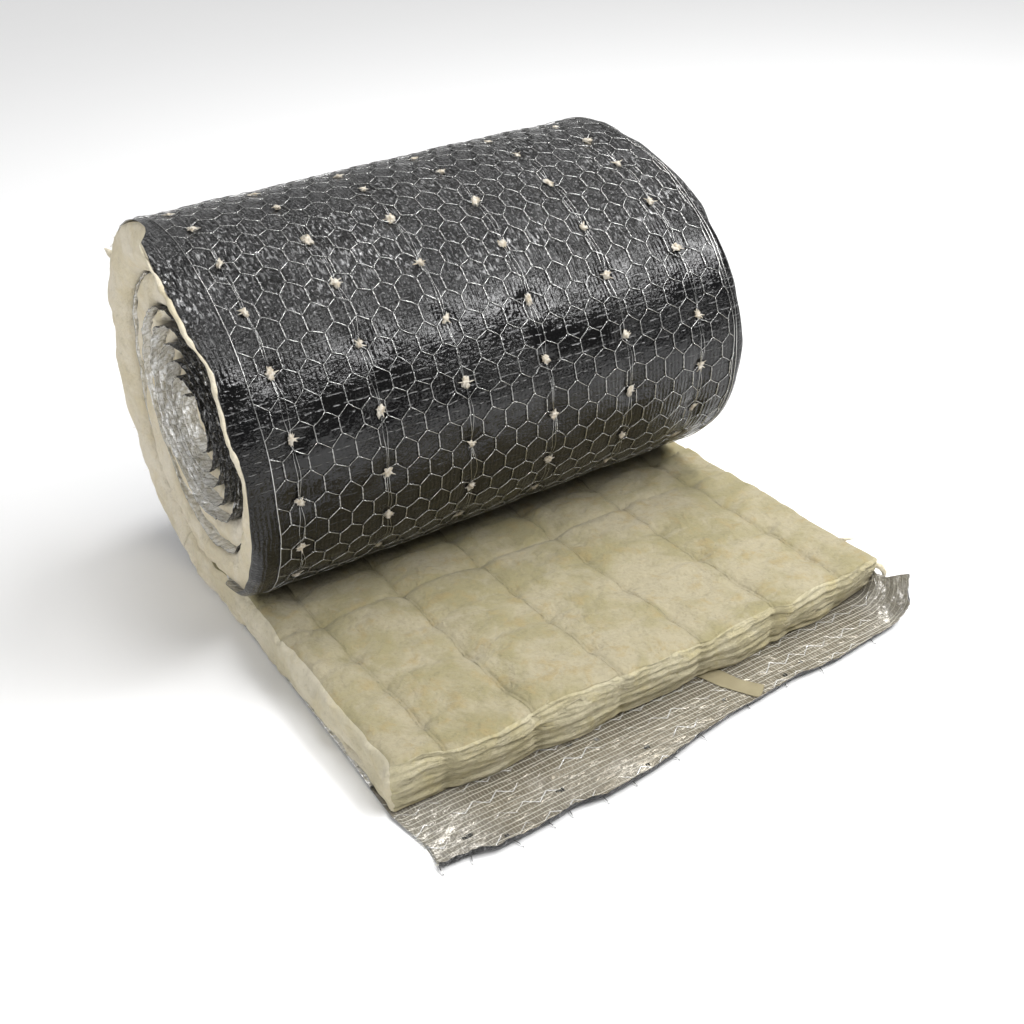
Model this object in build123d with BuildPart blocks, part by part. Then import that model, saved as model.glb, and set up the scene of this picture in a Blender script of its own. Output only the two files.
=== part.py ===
from build123d import *
import math
import os

# Wired insulation mat, partly unrolled.  Millimetres, +Z up.
# The roll lies on the floor with its axis along Y, and the unrolled length
# runs out along +X with its wool side up.  The origin is on the floor under
# the roll's axis, half way along the width of the wool.  The wool's left end
# is at -Y, where the facing stands past it as a lip.

# ---- driving dimensions -------------------------------------------------
mat_width = 600.0           # wool, along the roll axis
mat_length = 450.0          # flat length in front of the roll centre
mat_thickness = 55.0        # loose thickness at the front edge
foil_thickness = 0.5        # reinforced foil facing
lip = 18.0                  # facing past the wool at the roll's left end
core_recess = 18.0          # the inner turns' wool lies this far inside there
groove_depth = 26.0         # how deep the turns are cut into each end
flat_start = -30.0          # the roll's weight flattens it from here
roll_centre_z = 236.7
outer_radius = 249.9        # mean radius where the outer turn starts
turn_pitch = 49.5           # what it loses over the first turn
oval_2 = (-10.0, 1.0)       # sag of the roll: cosine and sine, twice a turn
oval_3 = (-3.1, 2.9)        # the same, three times a turn
oval_4 = (-1.3, -0.3)       # the same, four times a turn
knot_step = 45              # degrees between the knots of the outer turn
bore_radius = 14.0
bore_x = 0.0
bore_z = 235.0
slit_angle = 22.0           # the facing goes on this far under the roll

outer_end_z = 50.0          # outside of the outer turn where it lands
# heights at which the inner turns cross the plane through the axis
inner_turns = [50.0, 398.0, 88.5, 365.0, 119.5, 344.0, 140.5, 323.5,
               162.0, 305.0, 178.0, 285.5, 201.5, 264.5]

# front edge of the facing past the wool, (x, y from the left end)
flap_edge = [
    (537, 0), (539, 29), (550, 55), (550, 83), (549, 110), (545, 143),
    (551, 173), (549, 198), (547, 230), (543, 259), (534, 294), (525, 345),
    (521, 388), (516, 435), (519, 490), (512, 559), (506, 600),
]
flap_x = 556.0
# stitch holes left in the facing past the wool, (x, y from the left end, radius)
flap_holes = [
    (514, 40, 4.5), (534, 69, 2.5), (511, 142, 3.5), (463, 187, 3.0),
    (472, 212, 2.5), (511, 245, 3.0), (532, 231, 2.0), (497, 354, 2.0),
    (501, 432, 3.0), (494, 461, 2.5),
]
# strip of tape across the facing, corners (x, y from the left end)
tape_outline = [(452, 380), (503, 403), (518, 385), (452, 357)]
tape_thickness = 0.3

t = foil_thickness
half = mat_width / 2.0
left_end = Plane.XZ.offset(half)
r_first = (inner_turns[1] - inner_turns[0]) / 2.0
z_first = (inner_turns[1] + inner_turns[0]) / 2.0
a = math.radians(slit_angle)


def outer_point(deg):
    """Outside of the outer turn, by angle from the bottom round the back."""
    q = math.radians(deg)
    r = (outer_radius - turn_pitch * q / (2 * math.pi)
         + oval_2[0] * math.cos(2 * q) + oval_2[1] * math.sin(2 * q)
         + oval_3[0] * math.cos(3 * q) + oval_3[1] * math.sin(3 * q)
         + oval_4[0] * math.cos(4 * q) + oval_4[1] * math.sin(4 * q))
    return (-r * math.sin(q), roll_centre_z - r * math.cos(q))


def outer_knots():
    knots = [((flat_start, 0.0), (-1.0, 0.0))]
    for deg in range(knot_step, 360, knot_step):
        p, q = outer_point(deg - 0.5), outer_point(deg + 0.5)
        d = math.hypot(q[0] - p[0], q[1] - p[1])
        knots.append((outer_point(deg), ((q[0] - p[0]) / d, (q[1] - p[1]) / d)))
    knots.append(((0.0, outer_end_z), (-1.0, 0.0)))
    return knots


def arc_from(p, tan, q):
    """Arc from p along tan to q: its centre and the side it bends to."""
    nx, ny = tan[1], -tan[0]
    vx, vy = q[0] - p[0], q[1] - p[1]
    k = (vx * vx + vy * vy) / (2 * (nx * vx + ny * vy))
    return (p[0] + nx * k, p[1] + ny * k)


def outer_arcs():
    """Tangent arcs of the outer turn, as (centre, start, end)."""
    out = []
    knots = outer_knots()
    for (p, tp), (q, tq) in zip(knots, knots[1:]):
        vx, vy = q[0] - p[0], q[1] - p[1]
        sx, sy = tp[0] + tq[0], tp[1] + tq[1]
        e = 2 * (1 - (tp[0] * tq[0] + tp[1] * tq[1]))
        vs = vx * sx + vy * sy
        d = (-vs + math.sqrt(vs * vs + e * (vx * vx + vy * vy))) / e
        m = ((p[0] + d * tp[0] + q[0] - d * tq[0]) / 2,
             (p[1] + d * tp[1] + q[1] - d * tq[1]) / 2)
        out.append((arc_from(p, tp, m), p, m))
        back = (-tq[0], -tq[1])
        out.append((arc_from(q, back, m), m, q))
    return out


def scaled(c, p, inset):
    r = math.hypot(p[0] - c[0], p[1] - c[1])
    k = (r - inset) / r
    return (c[0] + (p[0] - c[0]) * k, c[1] + (p[1] - c[1]) * k)


def outer_turn(inset):
    """Draws the outer turn, that far inside its outside."""
    for c, p, q in outer_arcs():
        r = math.hypot(p[0] - c[0], p[1] - c[1])
        mx, my = (p[0] + q[0]) / 2 - c[0], (p[1] + q[1]) / 2 - c[1]
        k = r / math.hypot(mx, my)
        m = (c[0] + mx * k, c[1] + my * k)
        ThreePointArc(scaled(c, p, inset), scaled(c, m, inset),
                      scaled(c, q, inset))


def turn_arcs(inset):
    """Half circles of the turns, drawn from the slit to the core."""
    z = list(inner_turns)
    for i in range(len(z) - 1):
        up = z[i + 1] > z[i]
        c = (z[i] + z[i + 1]) / 2.0
        r = abs(z[i + 1] - z[i]) / 2.0 - inset
        s = 1 if up else -1
        q0 = a if i == 0 else 0.0
        qm = (q0 + math.pi) / 2.0
        ThreePointArc(
            (-s * r * math.sin(q0), c - s * r * math.cos(q0)),
            (-s * r * math.sin(qm), c - s * r * math.cos(qm)),
            (0.0, c + s * r),
        )


def slit_point(inset):
    r = r_first - inset
    return (-r * math.sin(a), z_first - r * math.cos(a))


def slit_mid(inset):
    r = r_first - inset
    return (-r * math.sin(a / 2), z_first - r * math.cos(a / 2))


def first_turn(inset):
    """The first inner turn, from the slit all the way round to above it."""
    z = inner_turns
    c, r = (z[0] + z[1]) / 2.0, (z[1] - z[0]) / 2.0 - inset
    qm = (a + math.pi) / 2.0
    ThreePointArc((-r * math.sin(a), c - r * math.cos(a)),
                  (-r * math.sin(qm), c - r * math.cos(qm)), (0.0, c + r))
    c, r = (z[1] + z[2]) / 2.0, (z[1] - z[2]) / 2.0 - inset
    ThreePointArc((0.0, c + r), (r, c), (0.0, c - r))
    c, r = (z[2] + z[3]) / 2.0, (z[3] - z[2]) / 2.0 - inset
    ThreePointArc((0.0, c - r), (-r * math.sin(a / 2), c - r * math.cos(a / 2)),
                  slit_point_next(inset))


def slit_point_next(inset=foil_thickness):
    c = (inner_turns[2] + inner_turns[3]) / 2.0
    r = (inner_turns[3] - inner_turns[2]) / 2.0 - inset
    return (-r * math.sin(a), c - r * math.cos(a))


# last point of the turns, outside and inside of the facing
z_last = inner_turns[-1]
last_up = inner_turns[-1] > inner_turns[-2]
z_last_in = z_last - t if last_up else z_last + t

# ---- wool ---------------------------------------------------------------
with BuildPart() as wool_mat:
    with BuildSketch(left_end) as wool_profile:
        with BuildLine():
            Line((mat_length, t), (flat_start, t))
            outer_turn(t)
            ThreePointArc((0.0, outer_end_z + t), slit_mid(t), slit_point(t))
            Line(slit_point(t), slit_point(0.0))
            ThreePointArc(slit_point(0.0), slit_mid(0.0), (0.0, outer_end_z))
            Spline((0.0, outer_end_z), (150.0, mat_thickness - 1.0),
                   (mat_length - 14.0, mat_thickness),
                   tangents=((1, 0), (1, 0)))
            Spline((mat_length - 14.0, mat_thickness),
                   (mat_length, mat_thickness - 12.0),
                   tangents=((1, 0), (0, -1)))
            Line((mat_length, mat_thickness - 12.0), (mat_length, t))
        make_face()
        with Locations((bore_x, bore_z)):
            Circle(bore_radius, mode=Mode.SUBTRACT)
    extrude(amount=-mat_width)
    # at the left end the inner turns lie deeper than the outer one
    with BuildSketch(left_end) as core_end:
        with BuildLine():
            first_turn(t)
            Line(slit_point_next(), slit_point(t))
        make_face()
    extrude(amount=-core_recess, mode=Mode.SUBTRACT)
    # the turns show as a spiral cut in each end, filled by the facing
    with BuildSketch(left_end) as turns_left:
        with BuildLine():
            turn_arcs(0.0)
            Line((0.0, z_last), (0.0, z_last_in))
            turn_arcs(t)
            Line(slit_point(0.0), slit_point(t))
        make_face()
    extrude(amount=-(core_recess + groove_depth), mode=Mode.SUBTRACT)
    with BuildSketch(Plane.XZ.offset(-(half - groove_depth))) as turns_right:
        with BuildLine():
            turn_arcs(0.0)
            Line((0.0, z_last), (0.0, z_last_in))
            turn_arcs(t)
            Line(slit_point(0.0), slit_point(t))
        make_face()
    extrude(amount=-groove_depth, mode=Mode.SUBTRACT)
wool_mat.part.label = "wool_mat"

# ---- facing -------------------------------------------------------------
with BuildPart() as foil_facing:
    # full width: past the wool, under it, round the roll and into the slit
    with BuildSketch(left_end) as sheet_profile:
        with BuildLine():
            Line((flap_x, 0.0), (flat_start, 0.0))
            outer_turn(0.0)
            ThreePointArc((0.0, outer_end_z), slit_mid(0.0), slit_point(0.0))
            Line(slit_point(0.0), slit_point(t))
            ThreePointArc(slit_point(t), slit_mid(t), (0.0, outer_end_z + t))
            outer_turn(t)
            Line((flat_start, t), (flap_x, t))
            Line((flap_x, t), (flap_x, 0.0))
        make_face()
    extrude(amount=-mat_width)
    # lip past the wool at the left end, round the roll only
    with BuildSketch(left_end) as lip_profile:
        with BuildLine():
            Line((0.0, 0.0), (flat_start, 0.0))
            outer_turn(0.0)
            ThreePointArc((0.0, outer_end_z), slit_mid(0.0), slit_point(0.0))
            Line(slit_point(0.0), slit_point(t))
            ThreePointArc(slit_point(t), slit_mid(t), (0.0, outer_end_z + t))
            outer_turn(t)
            Line((flat_start, t), (0.0, t))
            Line((0.0, t), (0.0, 0.0))
        make_face()
    extrude(amount=lip)
    # the inner turns, as they show at each end
    with BuildSketch(left_end) as strip_left:
        with BuildLine():
            turn_arcs(0.0)
            Line((0.0, z_last), (0.0, z_last_in))
            turn_arcs(t)
            Line(slit_point(0.0), slit_point(t))
        make_face()
    extrude(amount=-(core_recess + groove_depth))
    with BuildSketch(Plane.XZ.offset(-(half - groove_depth))) as strip_right:
        with BuildLine():
            turn_arcs(0.0)
            Line((0.0, z_last), (0.0, z_last_in))
            turn_arcs(t)
            Line(slit_point(0.0), slit_point(t))
        make_face()
    extrude(amount=-groove_depth)
    # ragged front edge and the stitch holes
    with BuildSketch(Plane((0, -half, 0))) as trimmed:
        with BuildLine():
            Polyline(*flap_edge, (flap_x + 5, mat_width), (flap_x + 5, 0),
                     close=True)
        make_face()
    extrude(amount=t * 2, both=True, mode=Mode.SUBTRACT)
    with BuildSketch(Plane((0, -half, 0))) as holes:
        for hx, hy, hr in flap_holes:
            with Locations((hx, hy)):
                Circle(hr)
    extrude(amount=t * 2, both=True, mode=Mode.SUBTRACT)
foil_facing.part.label = "foil_facing"

# ---- tape ---------------------------------------------------------------
with BuildPart() as seam_tape:
    with BuildSketch(Plane((0, -half, t))) as tape_shape:
        with BuildLine():
            Polyline(*tape_outline, close=True)
        make_face()
    extrude(amount=tape_thickness)
seam_tape.part.label = "seam_tape"

os.makedirs("parts", exist_ok=True)
export_step(wool_mat.part, "parts/wool_mat.step")
export_step(foil_facing.part, "parts/foil_facing.step")
export_step(seam_tape.part, "parts/seam_tape.step")
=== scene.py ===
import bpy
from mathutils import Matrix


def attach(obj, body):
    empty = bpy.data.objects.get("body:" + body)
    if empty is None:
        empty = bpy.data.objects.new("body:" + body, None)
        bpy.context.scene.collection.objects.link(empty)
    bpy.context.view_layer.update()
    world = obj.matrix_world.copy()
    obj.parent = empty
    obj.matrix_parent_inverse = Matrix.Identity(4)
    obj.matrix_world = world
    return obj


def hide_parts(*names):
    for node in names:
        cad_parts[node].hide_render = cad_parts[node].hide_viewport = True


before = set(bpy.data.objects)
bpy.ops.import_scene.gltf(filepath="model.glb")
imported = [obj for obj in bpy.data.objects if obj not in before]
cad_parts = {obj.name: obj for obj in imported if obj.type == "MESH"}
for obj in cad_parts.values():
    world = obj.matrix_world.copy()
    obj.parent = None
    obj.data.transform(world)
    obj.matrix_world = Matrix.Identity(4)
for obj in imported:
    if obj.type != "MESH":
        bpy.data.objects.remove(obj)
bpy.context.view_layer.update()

import json
import math

import bpy
import numpy as np

# Insulation mat, partly unrolled.  Metres, the CAD frame: the roll's axis runs
# along Y over the origin, the flat length along +X.  Along the sheet, s is the
# length from the point under the roll's axis, positive round the back and
# over the top, negative out along the flat length.

PI, TAU = math.pi, 2 * math.pi
Y0 = -0.300                       # wool's left end


# ------------------------------------------------------------------ numbers
def lattice(ix, iy, iz, seed):
    h = (ix * 73856093) ^ (iy * 19349663) ^ (iz * 83492791) ^ (seed * 40503 + 977)
    h = h & 0xFFFFFFFF
    h = ((h ^ (h >> 15)) * 2246822519) & 0xFFFFFFFF
    h = ((h ^ (h >> 13)) * 3266489917) & 0xFFFFFFFF
    h = h ^ (h >> 16)
    return h / 2147483648.0 - 1.0


def noise(x, y, z=0.0, seed=0):
    """Smooth value noise, -1 to 1."""
    x, y, z = np.broadcast_arrays(np.asarray(x, float), np.asarray(y, float),
                                  np.asarray(z, float))
    ix, iy, iz = (np.floor(v).astype(np.int64) for v in (x, y, z))
    fx, fy, fz = x - ix, y - iy, z - iz
    ux, uy, uz = (f * f * f * (f * (f * 6 - 15) + 10) for f in (fx, fy, fz))
    out = 0.0
    for dx in (0, 1):
        wx = ux if dx else 1 - ux
        for dy in (0, 1):
            wy = uy if dy else 1 - uy
            for dz in (0, 1):
                wz = uz if dz else 1 - uz
                out = out + wx * wy * wz * lattice(ix + dx, iy + dy, iz + dz, seed)
    return out


def fbm(x, y, z=0.0, seed=0, octaves=3, gain=0.5):
    out, amp, f = 0.0, 1.0, 1.0
    for k in range(octaves):
        out = out + amp * noise(np.asarray(x) * f, np.asarray(y) * f,
                                np.asarray(z) * f, seed + 31 * k)
        amp *= gain
        f *= 2.03
    return out


def ridged(x, y, z=0.0, seed=0):
    """Sharp creases: 1 on the crease, falling to 0."""
    return 1.0 - np.abs(noise(x, y, z, seed)) * 1.6


def step(a, b, x):
    t = np.clip((np.asarray(x, float) - a) / (b - a), 0, 1)
    return t * t * (3 - 2 * t)


def curve(x, xs, ys):
    """Smooth curve through points."""
    xs, ys = np.asarray(xs, float), np.asarray(ys, float)
    m = np.gradient(ys, xs)
    x = np.clip(np.asarray(x, float), xs[0], xs[-1])
    i = np.clip(np.searchsorted(xs, x) - 1, 0, len(xs) - 2)
    h = xs[i + 1] - xs[i]
    t = (x - xs[i]) / h
    return ((2 * t**3 - 3 * t**2 + 1) * ys[i] + (t**3 - 2 * t**2 + t) * h * m[i]
            + (-2 * t**3 + 3 * t**2) * ys[i + 1] + (t**3 - t**2) * h * m[i + 1])


# ------------------------------------------------------------- roll section
LEFT = dict(R0=.24967, T=.04963, b1=-.00036, a2=-.0066, b2=.00397, a3=-.00629,
            b3=.00118, a4=-.00261, b4=-.0006, zc=.23569)
RIGHT = dict(R0=.25023, T=.04932, b1=.00027, a2=-.01344, b2=-.0019, a3=.00004,
             b3=.00463, a4=.00005, b4=.0001, zc=.23771)
TURN_DEG = [360, 540, 720, 900, 1080, 1260, 1440, 1620, 1800, 1980, 2160, 2340,
            2520, 2700, 2880, 3060, 3240]
TURN_R = [.186, .161, .1485, .128, .1175, .107, .0965, .0865, .075, .068, .059,
          .0485, .0355, .0275, .0195, .0135, .0115]
LAST = math.radians(2700)         # the facing ends here, at the bore


def section(th, y):
    """Outer side of the facing at angle th from the bottom round the back."""
    th, y = np.broadcast_arrays(np.asarray(th, float), np.asarray(y, float))
    w = np.clip((y - Y0) / 0.6, -0.1, 1.1)
    g = lambda k: LEFT[k] * (1 - w) + RIGHT[k] * w
    r1 = (g('R0') - g('T') * th / TAU + g('a2') * np.cos(2 * th)
          + g('b2') * np.sin(2 * th) + g('a3') * np.cos(3 * th)
          + g('b3') * np.sin(3 * th) + g('a4') * np.cos(4 * th)
          + g('b4') * np.sin(4 * th))
    k = step(TAU, TAU + 2.6, th)
    r2 = curve(np.degrees(th), TURN_DEG, TURN_R)
    r2 = r2 + 0.0022 * noise(th * 1.3, 3.0, 0, 5) * step(TAU, TAU + 2, th)
    r = r1 * (1 - k) + r2 * k
    cx = g('b1') * (1 - k)
    cz = g('zc') * (1 - k) + .237 * k
    return cx - r * np.sin(th), cz - r * np.cos(th)


_th = np.linspace(0, math.radians(400), 1601)
_arc = []
for _y in (Y0, Y0 + 0.6):
    _x, _z = section(_th, _y)
    _arc.append(np.concatenate([[0], np.cumsum(np.hypot(np.diff(_x), np.diff(_z)))]))


def angle_at(s, y):
    w = np.clip((np.asarray(y, float) - Y0) / 0.6, -0.1, 1.1)
    a = np.interp(s, _arc[0], _th)
    b = np.interp(s, _arc[1], _th)
    return a * (1 - w) + b * w


FOOT = 0.0019                     # height of the facing over the floor
STITCH_Y = np.array([.040, .138, .238, .3385, .4385, .538]) + Y0
ROWS = ([.767 - .0685 * k for k in range(17, 0, -1)]
        + [.767, .835, .903, .969, 1.039, 1.107, 1.168, 1.232, 1.296])
rng = np.random.default_rng(11)
STITCHES = []                     # (y, s), a stitch and its tuft
for _k, _y in enumerate(STITCH_Y):
    for _s in ROWS:
        _off = {0: .005, 5: -.005}.get(_k, 0.0)
        STITCHES.append((_y + rng.normal(0, .0012), _s + _off + rng.normal(0, .002)))
STITCHES = np.array(STITCHES).reshape(6, len(ROWS), 2)


def relief(s, y):
    """How far the covering stands out of the smooth roll."""
    s, y = np.broadcast_arrays(np.asarray(s, float), np.asarray(y, float))
    out = (.0011 * fbm(s * 7, y * 7, 0, 21, 2) + .0007 * noise(s * 21, y * 17, 0, 22))
    near = np.zeros(s.shape)
    for col in STITCHES:
        m = np.abs(y - col[0, 0]) < .05
        if not m.any():
            continue
        sm, ym = s[m], y[m]
        acc = np.zeros(sm.shape)
        for sy, ss in col:
            d2 = (sm - ss) ** 2 + (ym - sy) ** 2
            acc += .0030 * np.exp(-d2 / (2 * .0085 ** 2)) + .0016 * np.exp(-d2 / (2 * .020 ** 2))
        acc += .0011 * np.exp(-((ym - col[0, 0]) / .010) ** 2)
        near[m] += acc
    flat = step(-.03, .06, s)
    return (out - near) * flat


def on_sheet(s, y, h=0.0, bumps=1.0):
    """A point h outside the facing, and the outward and forward directions."""
    s, y, h = np.broadcast_arrays(np.asarray(s, float), np.asarray(y, float),
                                  np.asarray(h, float))
    th = angle_at(np.maximum(s, 0), y)
    e = 2e-3
    x0, z0 = section(th - e, y)
    x1, z1 = section(th + e, y)
    tx, tz = x1 - x0, z1 - z0
    n = np.hypot(tx, tz)
    tx, tz = tx / n, tz / n
    x, z = section(th, y)
    flat = s < 0
    k = step(.0, .05, s)
    tx, tz = np.where(flat, -1.0, tx), np.where(flat, 0.0, tz)
    x = np.where(flat, -s + x, x)
    d = h + (relief(s, y) if bumps else 0.0) * bumps
    x = x - tz * d
    z = z + tx * d
    low = FOOT - h
    z = np.where(z < low + .004, low + np.log1p(np.exp((z - low) / .0012)) * .0012, z)
    z = np.where(flat, low, z * 1.0)
    z = np.where(~flat & (s < .05), low * (1 - k) + z * k, z)
    pts = np.stack([x, y, z], -1)
    out = np.stack([-tz, np.zeros_like(tz), tx], -1)
    fwd = np.stack([tx, np.zeros_like(tx), tz], -1)
    return pts, out, fwd


# -------------------------------------------------------------- mesh makers
def unit(v):
    return v / np.maximum(np.linalg.norm(v, axis=-1, keepdims=True), 1e-12)


class Bag:
    """Gathers vertices, uv and faces for one mesh."""

    def __init__(self):
        self.v, self.uv, self.f, self.m = [], [], [], []
        self.n = 0

    def add(self, verts, faces, mat=0, uv=None):
        verts = np.asarray(verts, float).reshape(-1, 3)
        self.v.append(verts)
        self.uv.append(np.zeros((len(verts), 2)) if uv is None
                       else np.asarray(uv, float).reshape(-1, 2))
        for fc in (faces if isinstance(faces, list) else [faces]):
            fc = np.asarray(fc, np.int64)
            if len(fc):
                self.f.append(fc + self.n)
                self.m.append(np.full(len(fc), mat, np.int32)
                              if np.isscalar(mat) else np.asarray(mat, np.int32))
        self.n += len(verts)

    def object(self, name, mats, smooth=True):
        v = np.concatenate(self.v)
        if name != "floor":
            v[:, 2] = np.maximum(v[:, 2], .0001)
        uv = np.concatenate(self.uv)
        sizes = np.concatenate([np.full(len(f), f.shape[1], np.int64) for f in self.f])
        loops = np.concatenate([f.ravel() for f in self.f])
        me = bpy.data.meshes.new(name)
        me.vertices.add(len(v))
        me.vertices.foreach_set("co", v.astype(np.float32).ravel())
        me.loops.add(len(loops))
        me.loops.foreach_set("vertex_index", loops.astype(np.int32))
        me.polygons.add(len(sizes))
        me.polygons.foreach_set("loop_start", np.concatenate(
            [[0], np.cumsum(sizes)[:-1]]).astype(np.int32))
        me.polygons.foreach_set("material_index", np.concatenate(self.m))
        me.polygons.foreach_set("use_smooth", np.full(len(sizes), smooth))
        layer = me.uv_layers.new(name="sheet")
        layer.data.foreach_set("uv", uv[loops].astype(np.float32).ravel())
        for m in mats:
            me.materials.append(m)
        me.update(calc_edges=True)
        me.validate()
        ob = bpy.data.objects.new(name, me)
        bpy.context.scene.collection.objects.link(ob)
        tris = int((sizes - 2).sum())
        COUNTS[name] = tris
        return ob


COUNTS = {}


def grid_faces(r, c, wrap=False):
    i = np.arange(r - 1)[:, None]
    j = np.arange(c if wrap else c - 1)[None, :]
    j2 = (j + 1) % c
    return np.stack([i * c + j, i * c + j2, (i + 1) * c + j2, (i + 1) * c + j],
                    -1).reshape(-1, 4)


def grid_normals(p):
    a = np.gradient(p, axis=0)
    b = np.gradient(p, axis=1)
    return unit(np.cross(a, b))


def add_sheet(bag, outer, thick, uv, outside, inside, flip=False, hole=None):
    """A thin closed sheet.  outer is an R x C grid of its outer side."""
    r, c = outer.shape[:2]
    n = grid_normals(outer)
    if flip:
        n = -n
    inner = outer - n * thick
    f = grid_faces(r, c)
    keep = np.ones(len(f), bool) if hole is None else ~hole.reshape(-1)
    ident = np.arange(r * c).reshape(r, c)
    k = r * c
    front = f[keep]
    back = front[:, ::-1] + k
    # border, found as the edges that one face has
    e = np.concatenate([front[:, [a, (a + 1) % 4]] for a in range(4)])
    key = np.minimum(e[:, 0], e[:, 1]) * (k + 1) + np.maximum(e[:, 0], e[:, 1])
    _, first, count = np.unique(key, return_index=True, return_counts=True)
    rim = e[first[count == 1]]
    side = np.stack([rim[:, 1], rim[:, 0], rim[:, 0] + k, rim[:, 1] + k], -1)
    if flip:
        front, back, side = front[:, ::-1], back[:, ::-1], side[:, ::-1]
    v = np.concatenate([outer.reshape(-1, 3), inner.reshape(-1, 3)])
    used = np.zeros(2 * k, bool)
    for a in (front, back, side):
        used[a.ravel()] = True
    remap = np.cumsum(used) - 1
    uv2 = np.concatenate([uv.reshape(-1, 2)] * 2)
    faces = remap[np.concatenate([front, back, side])]
    out_mat = (np.full(len(front), outside) if np.isscalar(outside)
               else np.asarray(outside).reshape(-1)[keep])
    mat = np.concatenate([out_mat, np.full(len(back), inside),
                          np.full(len(side), out_mat[0])])
    bag.add(v[used], faces, mat, uv2[used])


def add_tubes(bag, path, out, r, sides=5, mat=0, caps=True, uv=None):
    """Round wires along N paths of P points; out is a direction off each point."""
    path, out = np.asarray(path, float), np.asarray(out, float)
    n, p = path.shape[:2]
    t = unit(np.gradient(path, axis=1))
    u = unit(out - t * (out * t).sum(-1, keepdims=True))
    w = np.cross(t, u)
    a = np.arange(sides) * TAU / sides
    r = np.broadcast_to(np.asarray(r, float), (n, p))
    ring = (path[:, :, None] + r[..., None, None]
            * (u[:, :, None] * np.cos(a)[:, None] + w[:, :, None] * np.sin(a)[:, None]))
    v = ring.reshape(-1, 3)
    one = grid_faces(p, sides, wrap=True)
    off = (np.arange(n) * p * sides)[:, None, None]
    faces = [(one[None] + off).reshape(-1, 4)[:, ::-1]]
    if caps:
        cap = np.arange(sides)[None]
        faces.append((cap + off[:, 0]).reshape(-1, sides))
        faces.append(((p - 1) * sides + cap[:, ::-1] + off[:, 0]).reshape(-1, sides))
    uvv = None
    if uv is not None:
        uvv = np.repeat(np.asarray(uv, float).reshape(-1, 2), sides, axis=0)
    bag.add(v, faces, mat, uvv)


def box_lattice(na, nb, nc):
    """Surface of a lattice block: index of each lattice point, and its quads."""
    a, b, c = np.meshgrid(np.arange(na), np.arange(nb), np.arange(nc), indexing="ij")
    on = ((a == 0) | (a == na - 1) | (b == 0) | (b == nb - 1) | (c == 0) | (c == nc - 1))
    idx = np.full((na, nb, nc), -1, np.int64)
    idx[on] = np.arange(on.sum())
    quads = {}

    def q(s, flip):
        f = np.stack([s[:-1, :-1], s[1:, :-1], s[1:, 1:], s[:-1, 1:]], -1).reshape(-1, 4)
        return f[:, ::-1] if flip else f
    quads["a0"] = q(idx[0], True)
    quads["a1"] = q(idx[-1], False)
    quads["b0"] = q(idx[:, 0], False)
    quads["b1"] = q(idx[:, -1], True)
    quads["c0"] = q(idx[:, :, 0], True)
    quads["c1"] = q(idx[:, :, -1], False)
    return on, (a[on], b[on], c[on]), quads


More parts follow.
